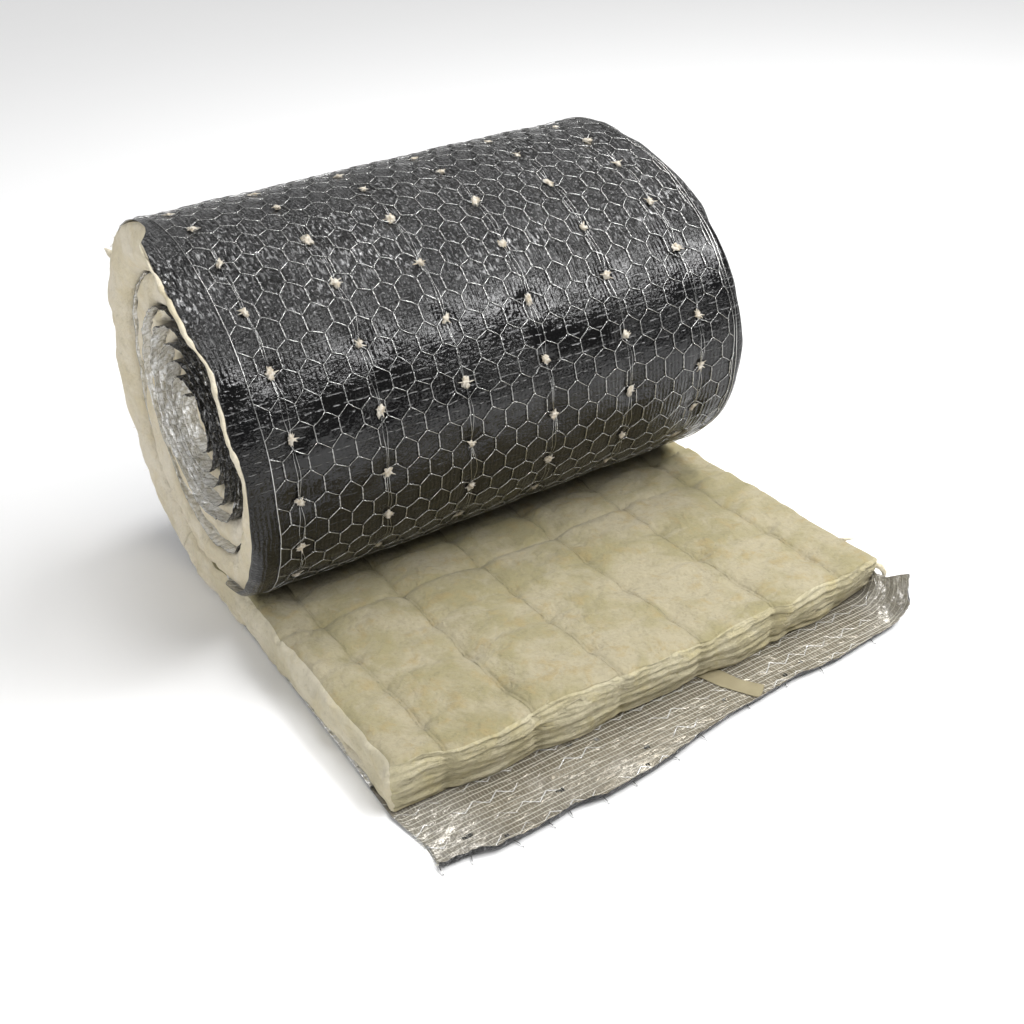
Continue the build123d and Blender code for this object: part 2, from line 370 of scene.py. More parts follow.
# ---------------------------------------------------------------- materials
class Graph:
    def __init__(self, name):
        self.mat = bpy.data.materials.new(name)
        self.mat.use_nodes = True
        self.t = self.mat.node_tree
        self.t.nodes.clear()
        self.out = self.t.nodes.new("ShaderNodeOutputMaterial")

    def node(self, kind, inputs=None, **props):
        n = self.t.nodes.new(kind)
        for k, v in props.items():
            setattr(n, k, v)
        for k, v in (inputs or {}).items():
            self.put(n.inputs[k], v)
        return n

    def put(self, socket, v):
        if isinstance(v, bpy.types.NodeSocket):
            self.t.links.new(v, socket)
        elif isinstance(v, (tuple, list)) and len(v) == 3 and socket.type == "RGBA":
            socket.default_value = (*v, 1.0)
        else:
            socket.default_value = v

    def math(self, op, a, b=0.0, c=0.0, clamp=False):
        n = self.node("ShaderNodeMath", {0: a, 1: b, 2: c}, operation=op, use_clamp=clamp)
        return n.outputs[0]

    def add(self, a, b): return self.math("ADD", a, b)
    def sub(self, a, b): return self.math("SUBTRACT", a, b)
    def mul(self, a, b): return self.math("MULTIPLY", a, b)

    def smooth(self, x, lo, hi, a=0.0, b=1.0):
        n = self.node("ShaderNodeMapRange", {0: x, 1: lo, 2: hi, 3: a, 4: b},
                      interpolation_type="SMOOTHSTEP")
        return n.outputs[0]

    def mix(self, fac, a, b, blend="MIX"):
        n = self.node("ShaderNodeMix", data_type="RGBA", blend_type=blend)
        self.put(n.inputs[0], fac)
        self.put(n.inputs[6], a)
        self.put(n.inputs[7], b)
        return n.outputs[2]

    def noise(self, vec, scale, detail=2.0, rough=0.5, dist=0.0):
        n = self.node("ShaderNodeTexNoise", {"Vector": vec, "Scale": scale,
                      "Detail": detail, "Roughness": rough, "Distortion": dist})
        return n.outputs[0]

    def voronoi(self, vec, scale, feature="F1", out=0):
        n = self.node("ShaderNodeTexVoronoi", {"Vector": vec, "Scale": scale},
                      feature=feature)
        return n.outputs[out]

    def where(self, scale=(1, 1, 1), source="Object"):
        tc = self.node("ShaderNodeTexCoord").outputs[source]
        return self.node("ShaderNodeMapping", {"Vector": tc, "Scale": scale}).outputs[0]

    def sheet(self):
        return self.node("ShaderNodeUVMap", uv_map="sheet").outputs[0]

    def split(self, vec):
        n = self.node("ShaderNodeSeparateXYZ", {0: vec})
        return n.outputs[0], n.outputs[1], n.outputs[2]

    def join(self, x, y, z=0.0):
        return self.node("ShaderNodeCombineXYZ", {0: x, 1: y, 2: z}).outputs[0]

    def ramp(self, fac, stops):
        n = self.node("ShaderNodeValToRGB", {0: fac})
        el = n.color_ramp.elements
        while len(el) < len(stops):
            el.new(0.5)
        for e, (p, c) in zip(el, stops):
            e.position = p
            e.color = (*c, 1.0) if len(c) == 3 else c
        return n.outputs[0]

    def bump(self, height, distance, strength=1.0, normal=None):
        n = self.node("ShaderNodeBump", {"Strength": strength, "Distance": distance,
                      "Height": height})
        if normal is not None:
            self.put(n.inputs["Normal"], normal)
        return n.outputs[0]

    def line(self, x, period, width, soft=0.5):
        """1 on lines that repeat each period, 0 between them."""
        f = self.math("FRACT", self.math("DIVIDE", x, period))
        d = self.math("ABSOLUTE", self.sub(f, 0.5))
        w = width / period / 2
        return self.smooth(d, w * (1 - soft), w * (1 + soft), 1.0, 0.0)

    def principled(self, **kw):
        names = {"color": "Base Color", "rough": "Roughness", "metal": "Metallic",
                 "ior": "IOR", "normal": "Normal", "sheen": "Sheen Weight",
                 "sheen_rough": "Sheen Roughness", "spec": "Specular IOR Level",
                 "coat": "Coat Weight", "coat_rough": "Coat Roughness"}
        n = self.node("ShaderNodeBsdfPrincipled")
        for k, v in kw.items():
            self.put(n.inputs[names[k]], v)
        self.t.links.new(n.outputs[0], self.out.inputs[0])
        return self.mat


def srgb(r, g, b):
    return tuple(((c / 255) / 12.92 if c / 255 <= .04045 else ((c / 255 + .055) / 1.055) ** 2.4)
                 for c in (r, g, b))


def make_black():
    """Gloss black film, crinkled; its glints in strokes and specks are painted light grey and made metallic."""
    g = Graph("facing_black")
    uv = g.sheet()
    y, s, _ = g.split(uv)
    w1 = g.sub(g.noise(uv, 38, 2), .5)
    w2 = g.sub(g.noise(uv, 110, 2), .5)
    # the scrim under the film shows as ribs round the roll and dashes across it
    yw = g.add(y, g.add(g.mul(w1, .0032), g.mul(w2, .0012)))
    rib = g.line(yw, .0050, .0024, .9)
    sw = g.add(s, g.add(g.mul(w1, .005), g.mul(w2, .003)))
    cross = g.line(sw, .0107, .0010, .8)
    dash = g.smooth(g.noise(g.join(g.mul(y, 120), g.mul(s, 170)), 1.0, 2.0), .45, .58)
    strokes = g.noise(g.join(g.mul(y, 270), g.mul(s, 105)), 1.0, 2.0, .6, .4)
    specks = g.noise(g.join(g.mul(y, 350), g.mul(s, 330)), 1.0, 2.0, .6, .4)
    zone = g.noise(uv, 12, 3, .6)
    busy = g.smooth(zone, .34, .60, .45, 1.0)
    kind = g.smooth(g.noise(g.join(g.add(y, 4.0), s), 10, 2, .5), .42, .58)
    # pressed smoother lower down, where the roll has lain on it; the painted glints are left out there too
    low = g.smooth(g.add(s, g.mul(w1, .10)), .90, .97, 1.0, .0)
    low = g.math("MAXIMUM", low, g.smooth(s, 1.38, 1.40))
    busy = g.mul(busy, g.add(.30, g.mul(low, .70)))
    grain = g.add(g.mul(strokes, g.sub(1.25, kind)), g.mul(specks, g.add(.45, kind)))
    h = g.add(g.add(g.mul(rib, .30), grain), g.mul(g.mul(cross, dash), .40))
    n1 = g.bump(g.mul(h, busy), .0034)
    n2 = g.bump(g.noise(uv, 30, 3, .6), .0024, 1.0, n1)
    # painted glints: strokes and specks made light grey and metallic where the film is crinkled
    m1 = g.mul(g.smooth(strokes, .53, .65), g.sub(1.0, g.mul(kind, .75)))
    m2 = g.mul(g.smooth(specks, .56, .70), g.add(.25, g.mul(kind, .75)))
    painted_glint_fleck = g.mul(g.math("MAXIMUM", m1, m2), g.mul(busy, low))
    painted_glint_fleck = g.mul(painted_glint_fleck, g.smooth(s, 1.38, 1.40, 1.0, 1.1))
    # painted glints: weaker round the top of the roll, full in the band that catches the lamps' reflection
    painted_glint_fleck = g.mul(painted_glint_fleck, g.smooth(s, .75, .83, .62, 1.0))
    # painted glints on the scrim's dashes, only in the band below that, where they catch the light
    dash_glint_band = g.mul(g.smooth(s, .88, .96, .04, .34), g.smooth(s, 1.04, 1.12, 1.0, .12))
    painted_glint_fleck = g.math("MAXIMUM", painted_glint_fleck, g.mul(g.mul(cross, dash), dash_glint_band))
    dust = g.smooth(g.noise(uv, 6, 4, .6), .3, .8)
    base = g.mix(dust, (.0018, .0018, .0022), (.0048, .0044, .0038))
    # base colour: light grey at the painted glints
    base = g.mix(painted_glint_fleck, base, (.40, .40, .40))
    rough = g.add(.08, g.mul(g.noise(uv, 60, 3), .15))
    return g.principled(color=base, rough=rough, metal=g.mul(painted_glint_fleck, .8), ior=1.46, normal=n2)


def make_silver():
    """Foil between the turns: bright, crinkled, its threads faint."""
    g = Graph("facing_silver")
    uv = g.sheet()
    y, s, _ = g.split(uv)
    w1 = g.sub(g.noise(uv, 28, 3), .5)
    w2 = g.sub(g.noise(uv, 33, 3), .5)
    sl = g.line(g.add(s, g.mul(w1, .009)), .0106, .0013, .6)
    yl = g.line(g.add(y, g.mul(w2, .005)), .0051, .0009, .7)
    thread = g.mul(g.math("MAXIMUM", sl, g.mul(yl, .5)), .5)
    c1 = g.voronoi(uv, 60)
    c2 = g.voronoi(uv, 170)
    c3 = g.noise(uv, 420, 3, .6, .4)
    crease = g.add(g.add(g.mul(c1, 1.0), g.mul(c2, .50)), g.mul(c3, .26))
    foil = g.mix(g.noise(uv, 22, 3), srgb(243, 242, 238), srgb(254, 254, 254))
    color = g.mix(thread, foil, srgb(206, 203, 190))
    n = g.bump(crease, .0050)
    n = g.bump(thread, .0005, 1.0, n)
    return g.principled(color=color, rough=g.add(.12, g.mul(thread, .3)), metal=.36, normal=n)


def make_flap():
    """Foil of the bare flap: smooth, beige grey, ridged by the netting under it; painted highlights on those ridges,
    on its crinkles and on its curled right end.
    """
    g = Graph("facing_flap")
    uv = g.sheet()
    y, s, _ = g.split(uv)
    w = g.sub(g.noise(uv, 40, 2), .5)
    tri = g.math("PINGPONG", g.add(y, -.027), .0131)
    tri = g.sub(g.mul(tri, 2 / .0131), 1.0)
    sw = g.add(s, g.mul(w, .004))
    za = g.line(g.add(g.sub(sw, g.mul(tri, .0049)), .0268), .0535, .0014, .7)
    zb = g.line(g.add(sw, g.mul(tri, .0049)), .0535, .0014, .7)
    netting_ridge_highlight = g.mul(g.math("MAXIMUM", za, zb), g.smooth(g.noise(uv, 19, 2), .42, .56))
    c1 = g.voronoi(uv, 110)
    c2 = g.voronoi(uv, 300)
    c3 = g.noise(uv, 520, 3, .6, .5)
    patch = g.smooth(g.noise(uv, 10, 3, .6), .52, .72, .09, .50)
    edge = g.smooth(g.math("ABSOLUTE", g.sub(y, .01)), .02, .08, .9, 0.0)
    patch = g.math("MAXIMUM", patch, edge)
    patch = g.math("MAXIMUM", patch, g.smooth(y, .55, .61, 0.0, 1.0))
    near_zig = g.mul(g.smooth(g.noise(g.join(g.mul(y, 60), g.mul(s, 110)), 1.0, 2), .52, .66), .8)
    patch = g.math("MAXIMUM", patch, g.mul(near_zig, .42))
    crease = g.mul(g.add(g.add(g.mul(c1, 1.0), g.mul(c2, .45)), g.mul(c3, .30)), patch)
    foil = g.mix(g.noise(uv, 16, 3), srgb(122, 114, 98), srgb(142, 135, 120))
    # painted light: the curled-up right end is painted paler
    foil = g.mix(g.smooth(y, .57, .62, 0.0, .55), foil, srgb(206, 203, 196))
    # painted sheen: the crinkled patches are painted paler
    foil = g.mix(g.mul(patch, .35), foil, srgb(205, 203, 200))
    # painted glints on the finest crinkles
    glint = g.mul(g.smooth(c3, .60, .72), patch)
    # painted highlights: near white along the netting's ridges and at the glints
    color = g.mix(g.math("MAXIMUM", netting_ridge_highlight, g.mul(glint, .6)), foil, srgb(252, 252, 252))
    n = g.bump(crease, .0013)
    n = g.bump(netting_ridge_highlight, .0009, 1.0, n)
    n = g.bump(g.noise(uv, 300, 2), .00025, 1.0, n)
    return g.principled(color=color, rough=.26, metal=.60, normal=n)


def make_wool(name, light, dark, warm, patch=1.0, layers=0.0, fuzz=1.0, lines=False,
              specks=.3, onward=None):
    g = Graph(name)
    p = g.where()
    x, y, z = g.split(p)
    big = g.noise(p, 13, 4, .62, .3)
    mid = g.noise(p, 44, 5, .66, .25)
    speck = g.noise(p, 240, 4, .7)
    hair = g.noise(g.where((330, 1000, 800)), 1.0, 4, .68, .7)
    hair2 = g.noise(g.where((1000, 300, 800)), 1.0, 4, .68, .7)
    c = g.mix(g.smooth(big, .38, .62), light, dark)
    # onward: tones blended in along the sheet towards the roll, so the cut sides take the roll end's painted lighter
    # tone there
    if onward:
        run = g.smooth(g.split(g.sheet())[1], -.22, .09)
        c = g.mix(run, c, g.mix(g.smooth(big, .38, .62), *onward))
    c = g.mix(g.mul(g.smooth(mid, .50, .68), .60 * patch), c, warm)
    c = g.mix(g.smooth(g.noise(p, 17, 4, .65, 1.0), .52, .66, 0.0, .55 * patch), c,
              tuple(v * .92 + .03 for v in light))
    c = g.mix(g.smooth(mid, .30, .44, .30, 0.0), c, tuple(v * .66 for v in dark))
    c = g.mix(g.smooth(speck, .34, .54, specks, 0.0), c, tuple(v * .50 for v in dark))
    c = g.mix(g.smooth(hair, .58, .76, 0.0, .30), c, tuple(min(v * 1.22, .9) for v in light))
    h = g.add(g.add(g.mul(hair, .6), g.mul(hair2, .6)), g.mul(speck, .8))
    n = g.bump(h, .0010 * fuzz)
    n = g.bump(mid, .0034 * fuzz, 1.0, n)
    n = g.bump(big, .0085, 1.0, n)
    if lines:
        u, s, _ = g.split(g.sheet())
        d = g.math("ABSOLUTE", g.sub(g.math("FRACT", g.add(u, .5)), .5))
        torn_and_shade_mask = g.smooth(g.noise(g.join(g.mul(u, 6), g.mul(s, 55)), 1.0, 4, .7), .46, .66)
        # darker stitch line along each groove, broken into pieces: partly the stitch thread, partly painted shade in
        # the groove
        stitch_line_and_shade = g.mul(g.smooth(d, .003, .015, 1.0, 0.0), g.add(.04, g.mul(torn_and_shade_mask, .96)))
        # painted shade on both sides of the groove
        wide = g.smooth(d, .0, .07, .14, 0.0)
        c = g.mix(g.math("MAXIMUM", g.mul(stitch_line_and_shade, .66), wide), c, tuple(v * .40 for v in dark))
        n = g.bump(g.smooth(d, .003, .020, 0.0, 1.0), .0012, .8, n)
    if layers:
        wob = g.noise(g.join(g.mul(x, 18), g.mul(y, 18), g.mul(z, 30)), 1.0, 3)
        zz = g.add(g.mul(z, 430), g.mul(wob, 11))
        lay = g.noise(g.join(g.mul(x, 34), g.mul(y, 34), zz), 1.0, 4, .66)
        c = g.mix(g.smooth(lay, .33, .48, .70 * layers, 0.0), c,
                  tuple(v * .45 for v in dark))
        n = g.bump(lay, .0032 * layers, 1.0, n)
    return g.principled(color=c, rough=.95, normal=n, sheen=.10, sheen_rough=.5, spec=.12)


def make_wire():
    g = Graph("netting_wire")
    p = g.where()
    t = g.noise(p, 160, 3)
    c = g.mix(t, srgb(158, 158, 156), srgb(212, 212, 210))
    return g.principled(color=c, rough=g.add(.14, g.mul(g.noise(p, 420, 2), .2)),
                        metal=1.0, normal=g.bump(g.noise(p, 900, 2), .0002))


def make_tuft():
    g = Graph("wool_tuft")
    p = g.where()
    c = g.mix(g.smooth(g.noise(p, 260, 3), .35, .65), srgb(196, 183, 160), srgb(230, 223, 210))
    n = g.bump(g.noise(p, 900, 4, .7), .0018)
    return g.principled(color=c, rough=.9, normal=n, sheen=.2, sheen_rough=.5, spec=.2)


def make_tape():
    g = Graph("tape_beige")
    uv = g.sheet()
    y, s, _ = g.split(uv)
    weave = g.add(g.line(y, .0011, .0005, .9), g.line(s, .0011, .0005, .9))
    c = g.mix(g.noise(uv, 60, 3), srgb(132, 122, 94), srgb(160, 150, 120))
    return g.principled(color=c, rough=.7, normal=g.bump(weave, .0002))


def make_thread():
    g = Graph("scrim_thread")
    p = g.where()
    c = g.mix(g.noise(p, 300, 2), srgb(206, 202, 184), srgb(232, 230, 220))
    return g.principled(color=c, rough=.5, normal=g.bump(g.noise(p, 1200, 2), .0002))


BLACK, SILVER, FOIL = make_black(), make_silver(), make_flap()
WIRE, TUFT, TAPE, THREAD = make_wire(), make_tuft(), make_tape(), make_thread()
WOOL_TOP = make_wool("wool_top", srgb(167, 158, 132), srgb(150, 142, 108), srgb(158, 141, 99),
                     lines=True, specks=.18)
# The cut faces are one wool toned face by face as painted light: the roll's end (wool_end) lightest, the slab's cut
# sides (wool_cut) between, its front face (wool_front) darkest.
WOOL_CUT = make_wool("wool_cut", srgb(211, 203, 181), srgb(200, 191, 163), srgb(204, 189, 148),
                     patch=.5, fuzz=1.4, specks=.14,
                     onward=(srgb(232, 223, 203), srgb(220, 209, 181)))
WOOL_END = make_wool("wool_end", srgb(232, 223, 203), srgb(220, 209, 181), srgb(222, 206, 166),
                     patch=.5, fuzz=1.5, specks=.12)
WOOL_FRONT = make_wool("wool_front", srgb(191, 183, 155), srgb(177, 168, 135),
                       srgb(185, 173, 129), layers=.52, specks=.2)


# ------------------------------------------------- facing: edges and bends
EDGE_L = ([0, 60, 120, 160, 178, 183, 188, 198, 205, 212, 219, 224, 229, 232, 236, 241,
           246, 253, 258, 263, 268, 276, 284, 294, 320, 332, 339, 344, 350, 375],
          [4, 6, 4, 2, 1, -5, -17, -22, -24, -24, -23, -23, -18, -15, -15, -17,
           -17, -19, -15, -13, -14, -16, -16, -18, -18, -16, -10, 0, 5, 8])
EDGE_R = ([0, 40, 90, 140, 180, 184, 192, 204, 218, 224, 230, 248, 265, 269, 280, 291,
           320, 345, 375],
          [606, 598, 594, 592, 588, 584, 590, 589, 596, 597, 592, 592, 595, 596, 591, 590,
           592, 594, 590])
WOOL_R = ([-450, -60, 60, 300, 700, 1400], [612, 611, 602, 588, 586, 584])


def edge_left(s):
    """Left edge of the facing, row y, by length along the sheet."""
    th = np.degrees(angle_at(np.maximum(s, 0), 0.0))
    roll = np.interp(th, *EDGE_L)
    flat = np.interp(-np.asarray(s) * 1000, [0, 200, 350, 450], [4, 1, -2, -6])
    return Y0 + np.where(np.asarray(s) < 0, flat, roll) / 1000


def edge_right(s):
    th = np.degrees(angle_at(np.maximum(s, 0), 0.0))
    roll = np.interp(th, *EDGE_R)
    flat = np.interp(-np.asarray(s) * 1000, [0, 200, 400], [606, 610, 611])
    return Y0 + np.where(np.asarray(s) < 0, flat, roll) / 1000


def wool_right(s):
    return Y0 + np.interp(np.asarray(s) * 1000, *WOOL_R) / 1000


def bend(q, kmax):
    """A strip bent inwards: along and down, for length q at curvature kmax."""
    k = np.maximum(np.abs(kmax), 1e-4)
    return np.sin(k * q) / k, (1 - np.cos(k * q)) / k * np.sign(kmax)


# ------------------------------------------------------ facing on the roll
def facing_roll():
    s = np.concatenate([np.linspace(-.400, -.02, 33)[:-1], np.linspace(-.02, 1.395, 284)])
    p = np.linspace(0, 1, 119)
    # closer lines at both edges
    p = np.concatenate([[0, .0035, .0075, .012, .0175, .024, .031], np.linspace(.0385, .9615, 113),
                        [.969, .976, .9825, .988, .9925, .9965, 1]])
    S = s[:, None] + 0 * p[None]
    yl, yr = edge_left(s), edge_right(s)
    # arc length past the bend lines
    deg = np.degrees(angle_at(np.maximum(s, 0), 0.0))
    lip = step(184, 190, deg)
    fold_l = step(270, 300, deg) * (1 - step(350, 366, deg))
    fold_l = fold_l * (58 + 16 * noise(s * 34, 1.0, 0, 41)) + lip * (4 + 7 * noise(s * 26, 2, 0, 42))
    yb_l = np.maximum(yl + .0005, np.where(lip > 0, Y0 + .002, yl + .004))
    wr = wool_right(s) - .004
    over = np.maximum(yr - (wr - .006), .002) * step(.02, .2, s)
    extra = .010 * step(.05, .3, s) * (.7 + .5 * noise(s * 16, 4, 0, 44))
    yr2 = yr + extra
    Yf = yl[:, None] + (yr2 - yl)[:, None] * p[None]
    yb_r = (yr - .0045)[:, None]
    ang_r = np.radians(62 + 14 * noise(s * 22, 7, 0, 45))[:, None] * step(.05, .3, s)[:, None]
    # left
    ql = np.maximum(yb_l[:, None] - Yf, 0)
    tot = np.maximum(yb_l - yl, .003)[:, None]
    along, down = bend(ql, np.radians(fold_l)[:, None] / tot)
    Y = np.where(ql > 0, yb_l[:, None] - along, Yf)
    D = np.where(ql > 0, -down, 0)
    qr = np.maximum(Yf - yb_r, 0)
    totr = np.maximum(yr2[:, None] - yb_r, .004)
    along, down = bend(qr, ang_r / totr)
    Y = np.where(qr > 0, yb_r + along, Y)
    D = np.where(qr > 0, -down, D)
    # the free lip waves a little, and the strip outside the netting is puckered
    free = np.clip(ql / .018, 0, 1)
    D = D + free * .0016 * noise(S * 30, Y * 20, 0, 46) + free * .0009 * noise(S * 90, Y * 90, 0, 47)
    edge = np.exp(-np.minimum(Yf - yl[:, None], yr2[:, None] - Yf) / .02)
    D = D + edge * .0008 * noise(S * 55, Y * 40, 0, 48) * step(.1, .3, S)
    pts, out, fwd = on_sheet(S, Y, 0.0)
    pts = pts + out * D[..., None]
    bag = Bag()
    uv = np.stack([Yf, S], -1)
    add_sheet(bag, pts, .0006, uv, 0, 1, flip=False)
    return bag.object("facing_roll", [BLACK, SILVER])


# ------------------------------------------------------------ inner turns
FREE_DEG = [340, 360, 405, 430, 450, 500, 540, 570, 630, 720, 790, 900, 1080, 1440, 1800, 2340,
            2700]
FREE_Y = [7, 7, 7, 7, 8.5, 8, 7, 5, 4, 3, 4, 4, 4, 5, 6, 7, 10]
WOOL_DEG = [0, 330, 360, 400, 430, 450, 500, 540, 580, 630, 720, 760, 810, 900, 990, 1080,
            1440, 1800, 2340, 2700]
WOOL_Y = [0, 0, 2, 3, 10, 12.5, 12, 11.5, 14, 17, 14, 12, 12.5, 16, 19, 20, 22, 23, 26, 29]


def turn_facing(name, side):
    th = np.radians(np.concatenate([np.arange(352, 1100, 1.6), np.arange(1100, 2700.1, 2.6)]))
    deg = np.degrees(th)
    q = np.array([0, .0012, .0027, .0045, .0065, .009, .012, .0155, .020, .027, .038, .052])
    L = np.concatenate([[0], np.cumsum(np.diff(th) * np.interp((deg[1:] + deg[:-1]) / 2,
                                                               TURN_DEG, TURN_R))])
    T, Q = np.meshgrid(th, q, indexing="ij")
    LL = L[:, None] + 0 * Q
    if side < 0:
        free = np.interp(deg, FREE_DEG, FREE_Y) / 1000
        free = free + (.0010 * noise(L * 42, 0, 0, 51) + .0006 * noise(L * 130, 0, 0, 52)) \
            + .0022 * np.maximum(noise(L * 17, 5, 0, 53) - .25, 0)
        y = Y0 + free[:, None] + Q
        amp = step(395, 440, deg)[:, None]
    else:
        end = wool_right(np.full(len(th), 1.4)) + .001
        free = .002 * noise(L * 30, 0, 0, 54) + .001 * noise(L * 110, 0, 0, 55)
        y = (end - free)[:, None] - Q
        amp = .5
    # crumpled where it is free, flat where the wool grips it
    env = np.exp(-Q / .013) * amp
    crump = (.0016 * noise(LL * 48, Q * 60, 0, 56 + side) + .0015 * (ridged(LL * 95, Q * 110, 0, 57) - .6)
             + .0009 * (ridged(LL * 210, Q * 260, 0, 58) - .6))
    x, z = section(T, y)
    cx, cz = 0.0, .237
    rr = np.stack([x - cx, 0 * x, z - cz], -1)
    rr = unit(rr)
    grow = (crump * env)
    pts = np.stack([x, y, z], -1) + rr * grow[..., None]
    pts[..., 1] += (.0011 * noise(LL * 150, Q * 200, 1, 59)) * env * (Q > 0)
    bag = Bag()
    uv = np.stack([y - Y0, LL + 1.4], -1)
    add_sheet(bag, pts, .0005, uv, 0, 1, flip=side > 0)
    return bag.object(name, [BLACK, SILVER])


# -------------------------------------------------------------------- wool
FRONT_BOT = ([0, 41, 88, 140, 188, 244, 310, 350, 387, 441, 465, 512, 545, 560, 612],
             [447, 448, 456, 452, 460, 452, 454, 448, 459, 452, 446, 450, 440, 437, 434])
FRONT_TOP = ([0, 9, 28, 46, 96, 142, 187, 245, 306, 347, 364, 437, 458, 516, 545, 560, 603],
             [440, 446, 444, 455, 460, 452, 452, 462, 460, 464, 461, 453, 464, 452, 456, 457, 452])
S_END = 0.100                      # where the slab's mesh hands over to the roll's
NT = 37                            # lines through the thickness


SLAB_Y = STITCH_Y + .012


def groove_wander(k, x):
    return .024 * (np.clip(x, .05, .45) - .27) + .0028 * noise(x * 11, k * 7.3, 0, 63) + .0010 * noise(x * 41, k * 7.3, 0, 68)


def top_height(x, y):
    """Height of the wool's top in front of the roll."""
    yf = y - Y0
    z = curve(np.clip(x, 0, .5), [0, .05, .1, .16, .25, .35, .5],
              [.0510, .0535, .0565, .0570, .0565, .0560, .0560])
    z = z + .0021 * fbm(x * 10, y * 10, 0, 61, 3) + .0012 * noise(x * 45, y * 45, 0, 62) \
        + .0006 * noise(x * 110, y * 110, 0, 69)
    for k, yc in enumerate(SLAB_Y):
        d = y - yc - groove_wander(k, x)
        deep = .75 + .45 * noise(x * 9, k * 3.1, 0, 64)
        z = z - deep * (.0014 * np.exp(-(d / .0042) ** 2) + .0017 * np.exp(-(d / .021) ** 2)
                        + (.0009 + .0013 * noise(x * 34, k * 5.7, 0, 60)) * np.exp(-(d / .0017) ** 2))
        for s in ROWS:
            if -.43 < s < -.03:
                r2 = (x + s) ** 2 + (y - yc - .024 * (-s - .27)) ** 2
                z = z - .0046 * np.exp(-r2 / (2 * .0095 ** 2))
    # creases across the width, from having been rolled
    for s, amp in ((-.055, .0015), (-.1235, .0034), (-.1960, .0038), (-.2605, .0012),
                   (-.329, .0010), (-.3975, .0006)):
        w = .006 * noise(y * 6, s * 40, 0, 65) + .003 * noise(y * 19, s * 40, 0, 66)
        d = x + s - w
        k = amp * (.75 + .5 * noise(y * 8, s * 55, 0, 67))
        z = z + k * (np.where(d < 0, -np.exp(-(d / .006) ** 2), 0)
                     + .8 * np.where(d < 0, 0, np.exp(-d / .022) * (1 - np.exp(-d / .002))))
    return z


def round_pair(a, b, r):
    """Rounds the edge where distances a and b to two faces both reach 0."""
    u, v = r - a, r - b
    n = np.sqrt(np.maximum(u, 0) ** 2 + np.maximum(v, 0) ** 2)
    m = (u > 0) & (v > 0)
    k = np.where(m & (n > 1e-9), r / np.maximum(n, 1e-9), 1.0)
    k = np.minimum(k, 1.0)
    return np.where(m, r - u * k, a), np.where(m, r - v * k, b)


def wool_point(s, y, t):
    """Place in the wool: s along, y across, t 0 at the facing to 1 at the inside."""
    s, y, t = np.broadcast_arrays(*(np.asarray(v, float) for v in (s, y, t)))
    th = angle_at(np.maximum(s, 0), y)
    xo, zo = section(th, y)
    xi, zi = section(th + TAU, y)
    bot = FOOT + .0008
    zt = top_height(-s, y)
    fx, fz = -s + 0 * s, bot + (zt - bot) * t
    xr, zr = xo + (xi - xo) * t, zo + (zi - zo) * t
    n = np.hypot(xi - xo, zi - zo)
    k = .0009 * (1 - 2 * t) / n
    xr, zr = xr + (xi - xo) * k, zr + (zi - zo) * k
    w = step(0, .045, s)
    return (np.where(s <= 0, fx, fx * (1 - w) * 1.0 + xr * w),
            np.where(s <= 0, fz, (bot + (.0510 - bot) * t) * (1 - w) + zr * w))


def end_left(th_deg, u, L):
    """Left end of the wool, by angle in all and place across the layer."""
    th_deg = np.asarray(th_deg, float)
    base = np.interp(th_deg, WOOL_DEG, WOOL_Y) / 1000
    rim = .0032 * np.exp(-u / .07) + .0036 * np.exp(-(1 - u) / .09)
    # the outer turn is puffed up beside the first edge of foil inside it
    deep = np.interp(th_deg, [0, 40, 80, 150, 190, 230, 330], [.002, .004, .007, .006, .004, .002, .001])
    rim = rim + deep * np.exp(-(1 - u) / .10) * (th_deg < 350)
    lump = .0030 * noise(L * 20, u * 2.0, 0, 71) + .0017 * noise(L * 60, u * 4.5, 0, 72) \
        + .0012 * (ridged(L * 38, u * 3.2, 0, 75) - .6)
    swell = -.0030 * np.sin(PI * u)
    return Y0 + base + rim + lump + swell


def end_right(th_deg, u, L, end):
    rim = .0036 * (np.exp(-u / .09) + np.exp(-(1 - u) / .09))
    lump = .0020 * noise(L * 22, u * 2.2, 0, 73) + .0010 * noise(L * 70, u * 5, 0, 74)
    return end - rim + lump


